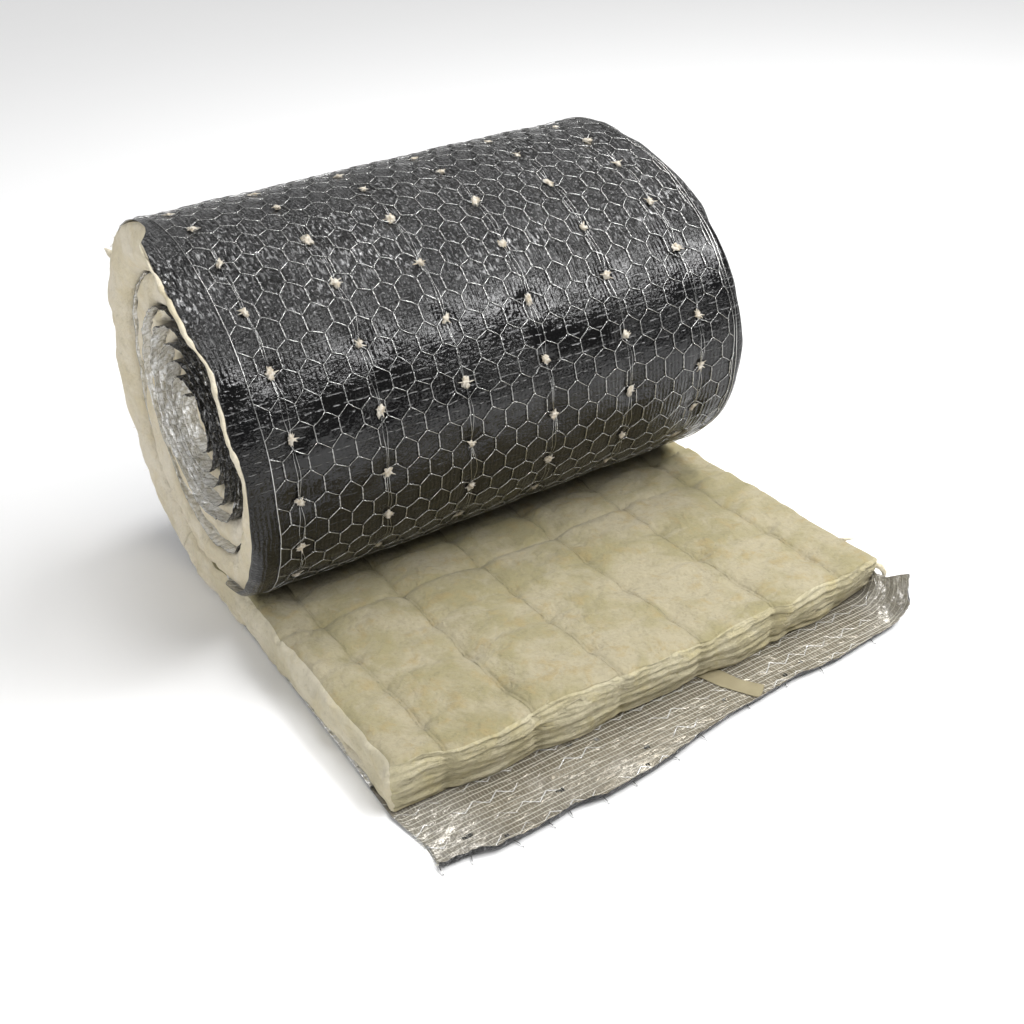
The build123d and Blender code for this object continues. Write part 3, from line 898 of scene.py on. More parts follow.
def wool_slab():
    front = [.4500, .4492, .4480, .4464, .4445, .4422, .4396, .4368, .4338, .4305, .4270]
    S = -np.concatenate([front, np.arange(.4235, -.0001, -.0041), -np.linspace(.004, S_END, 22)])
    base = np.arange(0, .6121, .0043)
    near = np.concatenate([(SLAB_Y - Y0)[:, None] + np.array([-.0045, -.0025, -.001, .001, .0025, .0045])])
    yy = np.sort(np.concatenate([base, near.ravel(), [.0008, .0022, .6098, .6112, .6120]]))
    yy = np.concatenate([[yy[0]], yy[1:][np.diff(yy) > .0007]])
    v = yy / yy[-1]
    t = np.linspace(0, 1, NT)
    on, (ia, ib, ic), quads = box_lattice(len(S), len(v), NT)
    s = S[ia]
    wide = wool_right(s) - Y0
    b = v[ib] * wide
    tt = t[ic]
    thick = .0535
    # distances to the faces, rounded in pairs
    df = s + .450
    dl, dr = b, wide - b
    db, dt = tt * thick, (1 - tt) * thick
    df, dt = round_pair(df, dt, .0105)
    df, db = round_pair(df, db, .0040)
    roll = step(-.10, .0, s)
    rl = .0125 * (1 - roll) + .004 * roll
    dl, dt = round_pair(dl, dt, rl)
    dl, db = round_pair(dl, db, .004)
    dr, dt = round_pair(dr, dt, .0095 * (1 - roll) + .003 * roll)
    dr, db = round_pair(dr, db, .004)
    df, dl = round_pair(df, dl, .006)
    df, dr = round_pair(df, dr, .008)
    s2 = df - .450
    b2 = np.where(dl < dr, dl, wide - dr)
    y = Y0 + b2
    keep = y.copy()
    for k, yc in enumerate(SLAB_Y):
        y = y + groove_wander(k, np.maximum(-s2, 0)) * np.exp(-((keep - yc) / .016) ** 2)
    tt2 = np.where(db < dt, db, thick - dt) / thick
    # front edge: its line, the waists at the stitches, and its layers
    yf = b2 * 1000
    along = yf - 14 * np.clip(yf / 60, 0, 1) * np.clip((612 - yf) / 60, 0, 1)
    xf = (np.interp(along, *FRONT_BOT) * (1 - tt2) + np.interp(along, *FRONT_TOP) * tt2) / 1000
    waist = np.zeros(len(s))
    for yc in SLAB_Y + .004:
        waist += np.exp(-((y - yc) / .0065) ** 2)
    xf = xf + .0038 * np.sin(PI * np.clip(tt2, 0, 1)) - waist * (.0022 + .0012 * np.sin(PI * tt2))
    zl = tt2 * 13 + 1.0 * noise(y * 9, tt2 * 2, 0, 81) + .5 * noise(y * 30, tt2 * 5, 0, 82)
    leaf = np.abs((zl % 1.0) - .5) * 2
    lay = -(.0013 * step(.62, 1.0, leaf)) * (.55 + .6 * noise(y * 22, np.floor(zl) * 3.7, 0, 83))
    lay = lay + .0015 * noise(y * 26, tt2 * 13, 0, 84) + .0010 * noise(y * 80, tt2 * 26, 0, 85) \
        + .0016 * noise(np.floor(zl) * 5.1, y * 5, 0, 86)
    face = np.exp(-df / .006)
    shift = (xf - .450) * np.exp(-df / .045) + lay * face
    x, z = wool_point(s2, y, tt2)
    x = x + np.where(s2 < 0, shift, 0)
    # left cut face: smooth, faintly layered, slightly hollow
    L = s2
    left = np.exp(-dl / .005)
    right = np.exp(-dr / .005)
    ends = (end_left(np.zeros(len(s)), tt2, L) - Y0) * left
    slit = .006 * np.exp(-((x - .350) / .017) ** 2 - ((tt2 * thick - .012 - (x - .35) * .02) / .0018) ** 2)
    flare = -.004 * np.exp(-tt2 * thick / .010) * step(.30, .42, x) \
        + .0012 * noise(x * 35, tt2 * 9, 0, 87)
    ends = ends + (flare + slit) * left
    endr = (-.0012 + .0030 * noise(x * 17, tt2 * 1.5, 0, 88) + .0012 * noise(x * 60, tt2 * 9, 0, 89)) * right
    rollish = step(-.02, .02, s2)
    endr = endr * (1 - rollish) + (end_right(0, tt2, L, 0.0)) * right * rollish
    # the wool's lower edge on the left is a little off the floor by the roll
    lift = .006 * np.exp(-((x - .02) / .09) ** 2) * np.exp(-tt2 * thick / .012) * left
    pts = np.stack([x, y + ends + endr, z + lift], -1)
    pts[:, 2] = np.maximum(pts[:, 2], .0012)
    bag = Bag()
    u_line = np.interp(keep - Y0, [0] + list(SLAB_Y - Y0) + [.612], [-.4, 0, 1, 2, 3, 4, 5, 5.74])
    bag.add(pts, quads["c1"], 0, np.stack([u_line, s2], -1))
    n = bag.n
    for key, m in (("c0", 1), ("a0", 2), ("a1", 1), ("b0", 1), ("b1", 1)):
        bag.f.append(quads[key])
        bag.m.append(np.full(len(quads[key]), m, np.int32))
    return bag.object("wool_slab", [WOOL_TOP, WOOL_CUT, WOOL_FRONT])


def wool_roll():
    th0 = float(angle_at(S_END, 0.0))
    th = np.concatenate([np.arange(th0, math.radians(1100), math.radians(1.9)),
                         np.arange(math.radians(1101), LAST + .001, math.radians(3.2))])
    th[-1] = LAST
    deg = np.degrees(th)
    rad = np.interp(deg, [0] + TURN_DEG, [.235] + TURN_R)
    L = np.concatenate([[0], np.cumsum(np.diff(th) * rad[1:])]) + S_END
    u = np.linspace(0, 1, NT)[::3]
    walls = np.array([0.045, .5, .955])
    # loop round the cross-section: left end, inside wall, right end, outside wall
    lo_u = np.concatenate([u, np.ones(3), u[::-1], np.zeros(3)])
    side = np.concatenate([np.zeros(len(u)), walls, np.ones(len(u)), walls[::-1]])
    T = th[:, None] + 0 * lo_u[None]
    U = lo_u[None] + 0 * T
    LL = L[:, None] + 0 * T
    first = np.where(T < TAU, LL, 1.4)
    yl = end_left(np.degrees(T), U, LL)
    yr = end_right(0, U, LL, wool_right(np.minimum(LL, 1.4)))
    Y = yl + (yr - yl) * side[None]
    xo, zo = section(T, Y)
    xi, zi = section(T + TAU, Y)
    n = np.hypot(xi - xo, zi - zo)
    k = .0009 * (1 - 2 * U) / n
    w = U + k
    pts = np.stack([xo + (xi - xo) * w, Y, zo + (zi - zo) * w], -1)
    # outer turn: sinks with the covering at the stitches
    r, c = T.shape
    sh = relief(np.where(T < TAU, LL, 9.0), Y) * (T < TAU) * (1 - U) ** 2
    wall = (U < .5) & (side[None] > 0) & (side[None] < 1)
    tuck = .0006 + .0022 * step(math.radians(186), math.radians(200), T)
    sh = sh - tuck * (1 - U) ** 3 * (T < TAU) - np.where(wall, .0034, 0) \
        - np.where(wall & (side[None] > .3) & (side[None] < .7), .0060, 0)
    out = unit(np.stack([xo, 0 * xo, zo - .236], -1))
    pts = pts + out * sh[..., None]
    f = grid_faces(r, c, wrap=True)
    bag = Bag()
    bag.add(pts, f, 0, np.stack([Y - Y0, LL], -1))
    cap0 = np.arange(c)[::-1][None]
    cap1 = (np.arange(c) + (r - 1) * c)[None]
    bag.f += [cap0, cap1]
    bag.m += [np.zeros(1, np.int32)] * 2
    return bag.object("wool_roll", [WOOL_END])


# ----------------------------------------------------------------- netting
PERIOD = .0535


def net_nodes():
    """Ends of each twisted side: dicts of (k, m) to (y, s0, s1)."""
    g = np.random.default_rng(5)
    sides = {}
    for k in range(-1, 44):
        y = Y0 + .027 + .0131 * k
        if k == -1:
            y = Y0 + .0135
        if k == 43:
            y = Y0 + .5822
        slide = .0075 * math.exp(-(max(k, 0) / 9.5) ** 2)
        mid0 = (1.0095 if k % 2 == 0 else 1.036) + slide
        for m in range(-28, 8):
            mid = mid0 + m * PERIOD + g.normal(0, .0009)
            jy = g.normal(0, .0008) if -1 < k < 43 else 0
            half = .0085 + g.normal(0, .0006)
            if mid < -.485 or mid > 1.36:
                continue
            sides[(k, m)] = (y + jy, mid - half, mid + half)
    return sides


def netting():
    sides = net_nodes()
    wob = np.random.default_rng(6)
    bags = {"netting_left": Bag(), "netting_right": Bag()}
    for name, b in bags.items():
        own = [(k, m) for (k, m) in sides if (k < 21) == (name == "netting_left")]
        # twisted sides, two strands; a plain pair under the flat length
        tw = np.array([sides[q] for q in own if 0 <= q[0] <= 42])
        vis = tw[:, 1] > -.01
        for sel, np_, hid in ((tw[vis], 9, False), (tw[~vis], 2, True)):
            if not len(sel):
                continue
            t = np.linspace(0, 1, np_)
            s = sel[:, 1:2] + (sel[:, 2:3] - sel[:, 1:2]) * t
            y = sel[:, 0:1] + 0 * s
            ph = wob.uniform(0, TAU, len(sel))[:, None]
            if hid:
                p, o, f = on_sheet(s, y, .0009, 0)
                add_tubes(b, p, o, .0007, 4, 0)
                continue
            for strand in (0, PI):
                a = ph * 0 + t * PI * 3.0 + strand + PI / 2
                p, o, f = on_sheet(s, y + .00042 * np.cos(a), .0009 + .00042 * np.sin(a), .85)
                add_tubes(b, p, o, .00040, 4, 0)
        # single wires between them
        seg = []
        for k, m in own:
            y, s0, s1 = sides[(k, m)]
            if k > 42:
                continue
            # from this side's far end to the next column's near end, both ways
            for dk in (1,):
                for m2 in (m - 1, m, m + 1):
                    q = sides.get((k + dk, m2))
                    if q is None:
                        continue
                    if 0 < q[1] - s1 < .016:
                        seg.append((y, s1, q[0], q[1]))
                    if 0 < s0 - q[2] < .016:
                        seg.append((q[0], q[2], y, s0))
        seg = np.array(seg)
        vis = seg[:, 1] > -.01
        for sel, np_ in ((seg[vis], 5), (seg[~vis], 2)):
            if not len(sel):
                continue
            t = np.linspace(0, 1, np_)[None]
            y = sel[:, 0:1] + (sel[:, 2:3] - sel[:, 0:1]) * t
            s = sel[:, 1:2] + (sel[:, 3:4] - sel[:, 1:2]) * t
            bow = wob.normal(0, .0007, (len(sel), 1)) * np.sin(PI * t)
            lift = wob.uniform(0, .0006, (len(sel), 1)) * np.sin(PI * t)
            p, o, f = on_sheet(s, y + bow, .0008 + lift * (s > 0), .85 if np_ > 2 else 0)
            add_tubes(b, p, o, .00043 if np_ > 2 else .0005, 5 if np_ > 2 else 4, 0)
    # straight selvage wires
    for name, y0, seed in (("netting_left", .0135, 1), ("netting_right", .5885, 2),
                           ("netting_right", .5845, 3)):
        s = np.arange(-.44, 1.365, .006)[None]
        y = Y0 + y0 + .0006 * noise(s * 18, seed, 0, 91) + .0003 * noise(s * 55, seed, 0, 92)
        if seed > 1:
            soft = np.convolve(np.pad(edge_right(s[0]), 12, mode="edge"), np.ones(25) / 25, "valid")
            y = soft[None] - (.0075 if seed == 2 else .0112) + (y - Y0 - y0) \
                + .0011 * noise(s * 27, seed, 0, 94)
        h = np.where(s < 0, .0009, .0010 + .0004 * noise(s * 40, seed, 0, 93))
        p, o, f = on_sheet(s, y, h, .85)
        add_tubes(bags[name], p, o, .00062 if seed == 1 else .00044, 5, 0)
    return [b.object(n, [WIRE]) for n, b in bags.items()]


def stitch_wires():
    g = np.random.default_rng(8)
    bag = Bag()
    t = np.linspace(0, 1, 11)
    for k in range(6):
        col = STITCHES[k]
        for a, c in zip(col, col[1:]):
            if a[1] < -.02 or c[1] > 1.33:
                continue
            for w in (-1, 1):
                amp = g.uniform(.0010, .0036) * w + g.normal(0, .0009)
                y = a[0] + (c[0] - a[0]) * t + amp * np.sin(PI * t) ** .8 \
                    + .0009 * np.sin(TAU * t * 1.5 + g.uniform(0, 6)) * np.sin(PI * t)
                s = a[1] + (c[1] - a[1]) * t
                h = .0012 + .0007 * np.sin(PI * t) + g.uniform(0, .0006) * np.sin(PI * t)
                p, o, f = on_sheet(s, y, h, .9)
                add_tubes(bag, p[None], o[None], .00027, 4, 0)
    return bag.object("stitch_wires", [WIRE])


# ------------------------------------------------------------------- tufts
def ico(sub):
    import bmesh
    bm = bmesh.new()
    bmesh.ops.create_icosphere(bm, subdivisions=sub, radius=1.0)
    v = np.array([x.co[:] for x in bm.verts])
    f = np.array([[x.index for x in q.verts] for q in bm.faces])
    bm.free()
    return v, f


def tufts():
    g = np.random.default_rng(9)
    sv, sf = ico(3)
    bag = Bag()
    for k in range(6):
        for j, (y, s) in enumerate(STITCHES[k]):
            if s < -.01 or s > 1.33:
                continue
            p, o, f = on_sheet(s, y, .0, .8)
            side = np.cross(f, o)
            wy, ws = g.uniform(.0025, .0040), g.uniform(.0034, .0058)
            wh = g.uniform(.0013, .0021)
            n = (noise(sv[:, 0] * 1.7, sv[:, 1] * 1.7, sv[:, 2] * 1.7, 100 + 7 * j + k) * .55
                 + noise(sv[:, 0] * 3.6, sv[:, 1] * 3.6, sv[:, 2] * 3.6, 200 + j + 9 * k) * .50
                 + noise(sv[:, 0] * 8, sv[:, 1] * 8, sv[:, 2] * 8, 300 + j) * .46)
            q = sv * (1 + n)[:, None]
            lean = g.normal(0, .35)
            a = q[:, 0] * wy
            c = q[:, 1] * ws
            v = (p + side * (a * math.cos(lean) - c * math.sin(lean))[:, None]
                 + f * (a * math.sin(lean) + c * math.cos(lean) + g.normal(0, .0008))[:, None]
                 + o * (q[:, 2] * wh + .0016)[:, None])
            bag.add(v, sf, 0)
            # tails of wool, mostly hanging the way of the stitch
            for _ in range(int(g.integers(4, 8))):
                t = np.linspace(0, 1, 5)[:, None]
                d = unit(side * g.normal(0, .8) - f * g.uniform(-.7, 1.3) + o * .1)
                length = g.uniform(.0040, .0085)
                curl = side * g.normal(0, .0016)
                path = p + o * (.0022 - .0008 * t) + d * t * length + curl * t ** 2
                add_tubes(bag, path[None], np.repeat(o[None], 5, 0)[None],
                          (.0010 * (1 - t[:, 0]) ** .7 + .00016)[None], 4, 0)
    return bag.object("wool_tufts", [TUFT])


# -------------------------------------------------------------------- flap
FLAP_X = ([-8, 0, 29, 55, 83, 110, 143, 173, 198, 230, 259, 294, 345, 388, 435, 490, 559, 596, 620, 640],
          [536, 538, 540, 550, 550, 549, 545, 551, 549, 547, 543, 534, 525, 521, 516, 519, 510, 506, 510, 510])
HOLES = [(514, 40, 5.0, 3.2), (534, 69, 2.4, 1.8), (511.5, 142.5, 4.2, 2.4), (462.5, 187, 3.4, 2.4),
         (472, 212, 2.6, 2.0), (511, 245, 3.4, 2.4), (532, 231, 2.2, 1.8), (497, 354, 2.2, 1.8),
         (501, 432, 3.4, 2.4), (494, 461, 2.6, 2.2)]
BEND_Y, BEND_R = .580, .034


CURL, CURL_R = .0145, .0088


def flap_front(yf):
    """Flat x of the flap's front edge; its last part rolls up."""
    return np.interp(yf * 1000, *FLAP_X) / 1000 + .0050


def flap_height(x, yf):
    """Height of the flap over the floor before its edges bend up."""
    xf = flap_front(yf)
    d = np.maximum(xf - x, 0)
    out = step(.425, .47, x)
    z = FOOT + 0 * x
    z = z + out * (.0014 + .0014 * fbm(x * 16, yf * 9, 0, 101, 2))
    z = z + out * (.0012 + .0012 * noise(yf * 9, 1, 0, 102)) * np.maximum(1 - d / .030, 0) ** 2
    z = z + out * .0035 * np.maximum(1 - (yf + .006) / .012, 0) ** 2
    rough = .35 + .65 * np.maximum(np.exp(-((yf - .02) / .05) ** 2), step(.54, .60, yf)) \
        + .25 * np.exp(-(d / .03) ** 2)
    c1 = np.maximum(ridged(x * 26 + .6 * noise(x * 20, yf * 20, 0, 103), yf * 13, 0, 104) - .62, 0)
    c2 = np.maximum(ridged(x * 60 + yf * 34, yf * 50 - x * 25, 0, 105) - .70, 0)
    c3 = np.maximum(ridged(x * 120, yf * 100, 0, 106) - .7, 0)
    z = z + out * rough * (.0020 * c1 + .0020 * c2 + .0012 * c3)
    z = z + out * rough * .0004 * noise(x * 240, yf * 240, 0, 107)
    return np.maximum(z, FOOT * .6)


def flap_place(x, yf, h=0.0):
    """Point of the flap for flat coordinates, h over its silver side."""
    z = flap_height(x, yf) + h
    # front edge
    xb = flap_front(yf) - CURL
    c = np.interp(yf, [-.01, .1, .3, .45, .60], [1.12, 1.05, .95, .80, .62]) \
        + .16 * noise(yf * 11, 6, 0, 115) + .07 * noise(yf * 37, 6, 0, 116)
    qf = np.maximum(x - xb, 0)
    af = np.minimum(qf / CURL_R * c, 1.45)
    straight = np.maximum(qf - 1.45 * CURL_R / c, 0)
    lifted = z - FOOT
    x0 = x
    x = np.minimum(x, xb) + CURL_R / c * np.sin(af) - lifted * np.sin(af) + straight * math.cos(1.45)
    z = FOOT + lifted * np.cos(af) + CURL_R / c * (1 - np.cos(af)) + straight * math.sin(1.45)
    # right end
    q = np.maximum(yf - BEND_Y, 0)
    up = step(.405, .450, x0)
    a = np.minimum(q / BEND_R, PI / 2 * .96)
    y = np.minimum(yf, BEND_Y) + BEND_R * np.sin(a) + np.maximum(q - BEND_R * PI / 2 * .96, 0) * math.cos(PI / 2 * .96)
    zz = BEND_R * (1 - np.cos(a)) + np.maximum(q - BEND_R * PI / 2 * .96, 0) * math.sin(PI / 2 * .96)
    crumple = .0020 * noise(x * 70, yf * 60, 0, 108) + .0012 * (ridged(x * 140, yf * 120, 0, 109) - .6)
    k = np.clip(q / .01, 0, 1) * up
    yb = y - (z - FOOT) * np.sin(a)
    zb = FOOT + (z - FOOT) * np.cos(a) + zz
    Y = yf * (1 - up) + yb * up
    Z = z * (1 - up) + zb * up
    Y = np.where(q > 0, Y - k * crumple, yf)
    Z = np.where(q > 0, Z, z)
    lean = .004 * k * np.clip(zz / .04, 0, 1)
    return np.stack([x + .006 * noise(Z * 20, 3, 0, 110) * k * np.clip(zz / .04, 0, 1), Y0 + Y - lean, Z], -1)


def flap_right(x):
    """Flat y of the flap's right edge: more of it where it stands up."""
    h = np.interp(x * 1000, [400, 430, 446, 470, 503, 560], [0, 1, 19, 34, 56, 59]) / 1000
    tall = BEND_Y + BEND_R * PI / 2 + np.maximum(h - BEND_R, 0)
    k = step(.408, .446, x)
    return .611 * (1 - k) + tall * k


def flap():
    p = np.concatenate([[0, .1, .2, .27], np.linspace(.32, .90, 44)[:-1], np.linspace(.90, 1, 15)])
    q = np.concatenate([np.linspace(0, .90, 262)[:-1], np.linspace(.90, 1, 40)])
    P, Q = np.meshgrid(p, q, indexing="ij")
    # flat coordinates, ragged at the front and the left
    x = np.full(P.shape, .5)
    for _ in range(4):
        yl = np.interp(x * 1000, [400, 451, 470, 507, 537, 552], [-4, -6, -3, 3, -2, -1]) / 1000
        yf = yl + (flap_right(x) - yl) * Q
        xf = flap_front(yf) + .0014 * noise(yf * 75, 0, 0, 111) \
            + .0008 * noise(yf * 210, 0, 0, 113)
        x = .400 + (xf - .400) * P
    pts = flap_place(x, yf, 0)
    hole = np.zeros((len(p) - 1, len(q) - 1), bool)
    torn_and_shade_mask = hole.copy()
    xc = (x[1:, 1:] + x[:-1, :-1]) / 2
    yc = (yf[1:, 1:] + yf[:-1, :-1]) / 2
    for hx, hy, ry, rx in HOLES:
        d = ((xc - hx / 1000) / (rx / 1000)) ** 2 + ((yc - hy / 1000) / (ry / 1000)) ** 2
        d = d * (1 + .35 * noise(xc * 400, yc * 400, 0, 114))
        hole |= d < .14
        # black top side round each hole: partly torn film turned over, partly painted shade for the hole's dark inside
        torn_and_shade_mask |= d < 1.1
    bag = Bag()
    add_sheet(bag, pts, .0006, np.stack([yf, -x], -1), np.where(torn_and_shade_mask, 0, 1), 0, flip=False, hole=hole)
    return bag.object("facing_flap", [BLACK, FOIL]), (x, yf)


def flap_threads():
    g = np.random.default_rng(12)
    bag = Bag()
    # along the width
    for i, x0 in enumerate(np.arange(.4425, .556, .0067)):
        yf = np.linspace(-.004, .66, 300)
        x = x0 + .0016 * noise(yf * 9, i * 3.3, 0, 121) + .0009 * noise(yf * 33, i * 3.3, 0, 122)
        xf = flap_front(yf) - .0012
        ok = (x < xf) & (yf < flap_right(x) - .001)
        runs = np.split(np.arange(len(yf)), np.flatnonzero(np.diff(ok.astype(int))) + 1)
        for r in runs:
            if ok[r[0]] and len(r) > 6:
                p = flap_place(x[r], yf[r], .00008)
                o = flap_place(x[r], yf[r], .01) - p
                add_tubes(bag, p[None], o[None], .00024, 4, 0)
    # across it, thinner
    for j, y0 in enumerate(np.arange(.0, .655, .0036)):
        x = np.linspace(.437, .556, 46)
        yf = y0 + .0009 * noise(x * 30, j * 2.1, 0, 123)
        xf = flap_front(yf) - .001
        ok = (x < xf) & (yf < flap_right(x) - .001)
        r = np.flatnonzero(ok)
        if len(r) > 5 and (np.diff(r) == 1).all():
            p = flap_place(x[r], yf[r], .00006)
            o = flap_place(x[r], yf[r], .01) - p
            add_tubes(bag, p[None], o[None], .00013, 3, 0)
    return bag.object("facing_scrim", [THREAD])


def seam_tape():
    # outline in flat flap coordinates: (x, y) of its two long edges
    a = np.array([(447, 380), (458, 383), (480, 389), (503, 403)]) / 1000
    b = np.array([(443, 352), (455, 358), (476, 364), (518, 385)]) / 1000
    n, m = 40, 14
    t = np.linspace(0, 1, n)
    k = np.linspace(0, 1, 4)
    pa = np.stack([np.interp(t, k, a[:, i]) for i in (0, 1)], -1)
    pb = np.stack([np.interp(t, k, b[:, i]) for i in (0, 1)], -1)
    w = np.linspace(0, 1, m)
    g2 = pa[:, None] * (1 - w)[None, :, None] + pb[:, None] * w[None, :, None]
    base = flap_place(g2[..., 0], g2[..., 1], .0007)
    # stiffer than the foil: it bridges the small creases
    sm = base.copy()
    for _ in range(12):
        sm[1:-1, 1:-1, 2] = (sm[:-2, 1:-1, 2] + sm[2:, 1:-1, 2] + sm[1:-1, :-2, 2] + sm[1:-1, 2:, 2]) / 4
    base[..., 2] = np.maximum(sm[..., 2], base[..., 2] - .0004) + .0004
    bag = Bag()
    add_sheet(bag, base, .0003, np.stack([g2[..., 1], g2[..., 0]], -1), 0, 0, flip=True)
    return bag.object("seam_tape_strip", [TAPE])


def loose_ends():
    """Cut wire ends past the flap, and the fibres that stand off the wool."""
    g = np.random.default_rng(14)
    wires = Bag()
    ends = [(.5455, .030), (.5515, .079), (.5475, .108), (.5460, .139), (.550, .170), (.548, .205),
            (.542, .262), (.533, .300), (.522, .365), (.517, .430), (.519, .470), (.512, .545)]
    t = np.linspace(0, 1, 6)[:, None]
    for x, yf in ends:
        a = np.array([x - .016, Y0 + yf + g.normal(0, .003), .0011])
        d = np.array([.0145 + g.uniform(0, .005), g.normal(0, .004), 0])
        path = a + d * t + np.array([0, 0, 1]) * (.0035 * t ** 2 - .0042 * t ** 4 + .0002)
        add_tubes(wires, path[None], np.tile([0, 0, 1.0], (6, 1))[None], .00045, 5, 0)
    # the corner of the flap ends in a wire
    a = flap_place(np.array([.507]), np.array([.001]), 0)[0]
    path = np.array([[.500, Y0 + .0005, .004], [.515, Y0 - .0005, .0052], [.530, Y0 - .0015, .0040],
                     [.537, Y0 - .002, .0026], [.542, Y0 - .0022, .0014]])
    add_tubes(wires, path[None], np.tile([0, 0, 1.0], (5, 1))[None], .0006, 5, 0)
    w = wires.object("wire_ends", [WIRE])
    fib = Bag()
    n = 300
    # rim of the slab's top front edge, its left edge, and the roll's left rim
    t = np.linspace(0, 1, 5)
    for i in range(n):
        kind = g.integers(0, 4)
        if kind == 0:
            yf = g.uniform(.0, .61)
            x = np.interp(yf * 1000, *FRONT_TOP) / 1000 - .003
            p0 = np.array([x, Y0 + yf, .047 + g.uniform(-.02, .006)])
            d = np.array([.006, g.normal(0, .006), g.normal(.001, .004)])
        elif kind == 1:
            x = g.uniform(.05, .44)
            p0 = np.array([x, Y0 + .0015, g.uniform(.002, .05)])
            d = np.array([g.normal(0, .007), -.0026, g.normal(0, .003)])
        elif kind == 2:
            x = g.uniform(.08, .44)
            p0 = np.array([x, Y0 + .609, g.uniform(.030, .052)])
            d = np.array([g.normal(0, .008), .0045, g.normal(.001, .003)])
        else:
            a = math.radians(g.uniform(20, 180))
            xx, zz = section(a, Y0)
            k = g.uniform(.0, .010) / .235
            p0 = np.array([float(xx) * (1 - k), Y0 + .002, float(zz) * (1 - k) + .236 * k])
            d = np.array([g.normal(0, .005), -.0022, g.normal(0, .005)])
        c = g.normal(0, .0025, 3)
        path = p0 + np.outer(t, d) + np.outer(t ** 2, c)
        path[:, 2] = np.maximum(path[:, 2], .0008)
        add_tubes(fib, path[None], np.tile([.3, .2, 1.0], (5, 1))[None],
                  (.00020 * (1 - .6 * t))[None], 3, 0)
    # strand that hangs at the far front corner, and small torn flakes
    sx = np.array([[.436, Y0 + .600, .044], [.443, Y0 + .610, .043], [.451, Y0 + .616, .040],
                   [.455, Y0 + .618, .034], [.456, Y0 + .617, .027]])
    add_tubes(fib, sx[None], np.tile([0, 1.0, .2], (5, 1))[None],
              np.array([[.0042, .0034, .0036, .0030, .0010]]), 8, 0)
    fl = np.array([[.396, Y0 + .606, .052], [.402, Y0 + .612, .0545], [.409, Y0 + .617, .056]])
    add_tubes(fib, fl[None], np.tile([0, .2, 1.0], (3, 1))[None], np.array([[.003, .0018, .0003]]), 6, 0)
    s = np.interp(np.radians(np.linspace(187, 271, 190)), _th, _arc[0])
    y = edge_left(s) - .0012 + .0010 * noise(s * 70, 2, 0, 131)
    p, o, f = on_sheet(s, y, -.0030 + .0008 * noise(s * 50, 4, 0, 132), .9)
    add_tubes(fib, p[None], o[None], ((.0021 + .0012 * noise(s * 34, 1, 0, 133)
                                       + .0007 * noise(s * 120, 3, 0, 134))
                                      * np.minimum(1, .25 + 40 * np.minimum(s - s[0], s[-1] - s)))[None],
              7, 0)
    a = math.radians(130)
    xx, zz = section(a, Y0)
    nb = np.array([[float(xx) * .97, Y0 + .004, float(zz)], [float(xx) * 1.0, Y0 + .001, float(zz) + .003],
                   [float(xx) * 1.02, Y0 - .002, float(zz) + .008]])
    add_tubes(fib, nb[None], np.tile([0, -1.0, .2], (3, 1))[None], np.array([[.005, .0038, .0008]]), 7, 0)
    f = fib.object("wool_fibres", [WOOL_CUT])
    return w, f


# ------------------------------------------------------------------- build
roll_sheet = facing_roll()
turns_l = turn_facing("facing_turns_left", -1)
turns_r = turn_facing("facing_turns_right", 1)
slab = wool_slab()
band = wool_roll()
nets = netting()
stitches = stitch_wires()
tuft_piece = tufts()
flap_piece, _ = flap()
scrim = flap_threads()
tape = seam_tape()
wire_ends, fibres = loose_ends()

for piece, slot in ((roll_sheet, "facing_black"), (turns_l, "facing_silver"),
                    (turns_r, "facing_silver"), (slab, "wool"), (band, "wool"),
                    (nets[0], "netting"), (nets[1], "netting"), (stitches, "netting"),
                    (tuft_piece, "wool"), (flap_piece, "facing_silver"),
                    (scrim, "facing_silver"), (tape, "tape"), (wire_ends, "netting"),
                    (fibres, "wool")):
    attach(piece, "root")
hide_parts("foil_facing")
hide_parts("wool_mat")
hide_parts("seam_tape")

# ------------------------------------------------------- floor, light, view
fb = Bag()
fb.add([(-14, -14, 0), (14, -14, 0), (14, 14, 0), (-14, 14, 0)], np.array([[0, 1, 2, 3]]))
g = Graph("studio_floor")
floor = fb.object("floor", [g.principled(color=g.mix(g.noise(g.where(), 3, 2), (.955, .955, .955), (.965, .965, .965)),
                                         rough=.9, spec=.1)])
COUNTS.pop("floor")

scene = bpy.context.scene
scene.view_settings.view_transform = "Standard"
scene.view_settings.look = "None"
scene.view_settings.exposure = 0.0
world = bpy.data.worlds.new("studio")
scene.world = world
world.use_nodes = True
bg = world.node_tree.nodes["Background"]
bg.inputs[0].default_value = (1, 1, 1, 1)
wt = world.node_tree
tc = wt.nodes.new("ShaderNodeTexCoord")
sep = wt.nodes.new("ShaderNodeSeparateXYZ")
sky = wt.nodes.new("ShaderNodeValToRGB")
_el = sky.color_ramp.elements
while len(_el) < 5:
    _el.new(.5)
for _e, (_p, _v) in zip(_el, ((0, .25), (.25, .12), (.55, .16), (.80, .34), (1, .42))):
    _e.position, _e.color = _p, (_v, _v, _v, 1)
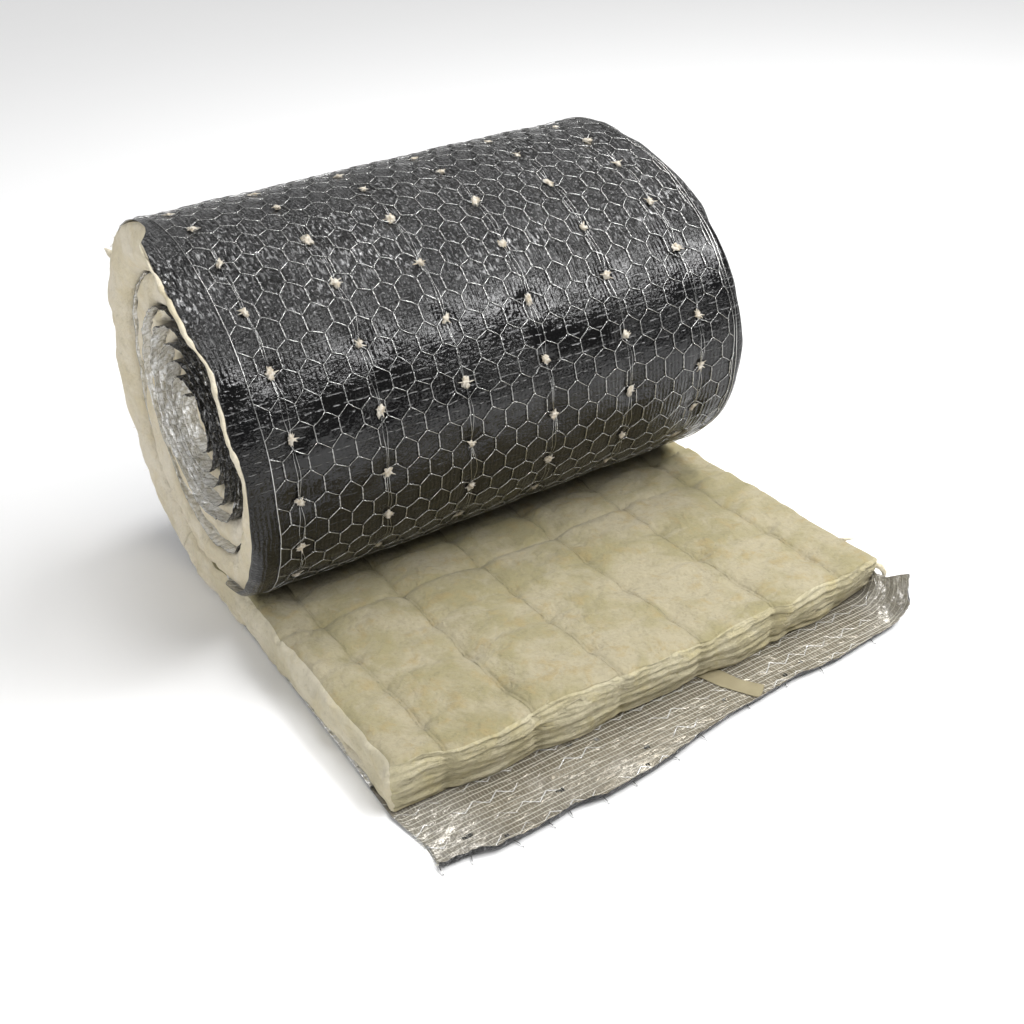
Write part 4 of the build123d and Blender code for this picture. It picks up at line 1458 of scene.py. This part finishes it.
# pale wall behind the roll
wall = wt.nodes.new("ShaderNodeVectorMath")
wall.operation = "DOT_PRODUCT"
wall.inputs[1].default_value = (-.81, .50, .30)
glow = wt.nodes.new("ShaderNodeMapRange")
glow.interpolation_type = "SMOOTHSTEP"
for _i, _v in ((1, .78), (2, .97), (3, .0), (4, .42)):
    glow.inputs[_i].default_value = _v
total = wt.nodes.new("ShaderNodeMath")
total.operation = "ADD"
wt.links.new(tc.outputs["Generated"], sep.inputs[0])
wt.links.new(sep.outputs[2], sky.inputs[0])
wt.links.new(tc.outputs["Generated"], wall.inputs[0])
wt.links.new(wall.outputs["Value"], glow.inputs[0])
wt.links.new(sky.outputs[0], total.inputs[0])
wt.links.new(glow.outputs[0], total.inputs[1])
wt.links.new(total.outputs[0], bg.inputs[1])


def area(name, loc, aim, size, watts, color=(1, 1, 1), size_y=None):
    d = bpy.data.lights.new(name, "AREA")
    d.shape = "RECTANGLE"
    d.size, d.size_y = size, size_y or size
    d.energy = watts
    d.color = color
    o = bpy.data.objects.new(name, d)
    scene.collection.objects.link(o)
    from mathutils import Vector
    o.location = loc
    o.rotation_euler = (Vector(aim) - Vector(loc)).to_track_quat("-Z", "Y").to_euler()
    return o


def sun(name, toward, strength, angle, color=(1, 1, 1)):
    from mathutils import Vector
    d = bpy.data.lights.new(name, "SUN")
    d.energy = strength
    d.angle = math.radians(angle)
    d.color = color
    o = bpy.data.objects.new(name, d)
    scene.collection.objects.link(o)
    o.rotation_euler = Vector(toward).to_track_quat("Z", "Y").to_euler()
    return o


def strip(name, a, b, aim, width, watts):
    """A long narrow lamp from a to b."""
    from mathutils import Matrix, Vector
    a, b, aim = Vector(a), Vector(b), Vector(aim)
    mid = (a + b) / 2
    z = (mid - aim).normalized()
    x = ((b - a) - z * (b - a).dot(z)).normalized()
    d = bpy.data.lights.new(name, "AREA")
    d.shape = "RECTANGLE"
    d.size, d.size_y = (b - a).length, width
    d.energy = watts
    o = bpy.data.objects.new(name, d)
    scene.collection.objects.link(o)
    o.matrix_world = Matrix.Translation(mid) @ Matrix((x, z.cross(x), z)).transposed().to_4x4()
    return o


sun("overhead", (-.07, .18, .98), .76, 22)
sun("fill", (.25, -.85, .46), 1.18, 34)
area("softbox", (.2, 1.15, 2.4), (.1, .1, .2), 2.6, 44, size_y=.55)
area("key", (1.62, 1.15, 2.05), (0, 0, .25), 1.6, 12, size_y=.75)
strip("band", (.93, 1.62, 1.66), (1.68, .04, 1.60), (.15, 0, .3), .29, 27)

cam_data = bpy.data.cameras.new("camera")
cam_data.sensor_width = 36
cam_data.sensor_fit = "HORIZONTAL"
cam_data.lens = 48.25
cam_data.clip_end = 60
cam = bpy.data.objects.new("camera", cam_data)
scene.collection.objects.link(cam)
cam.location = (1.35564, -.67884, .88877)
cam.rotation_euler = (1.04266, .05793, 1.01196)
scene.camera = cam

print("TRIANGLES", json.dumps(COUNTS), sum(COUNTS.values()))
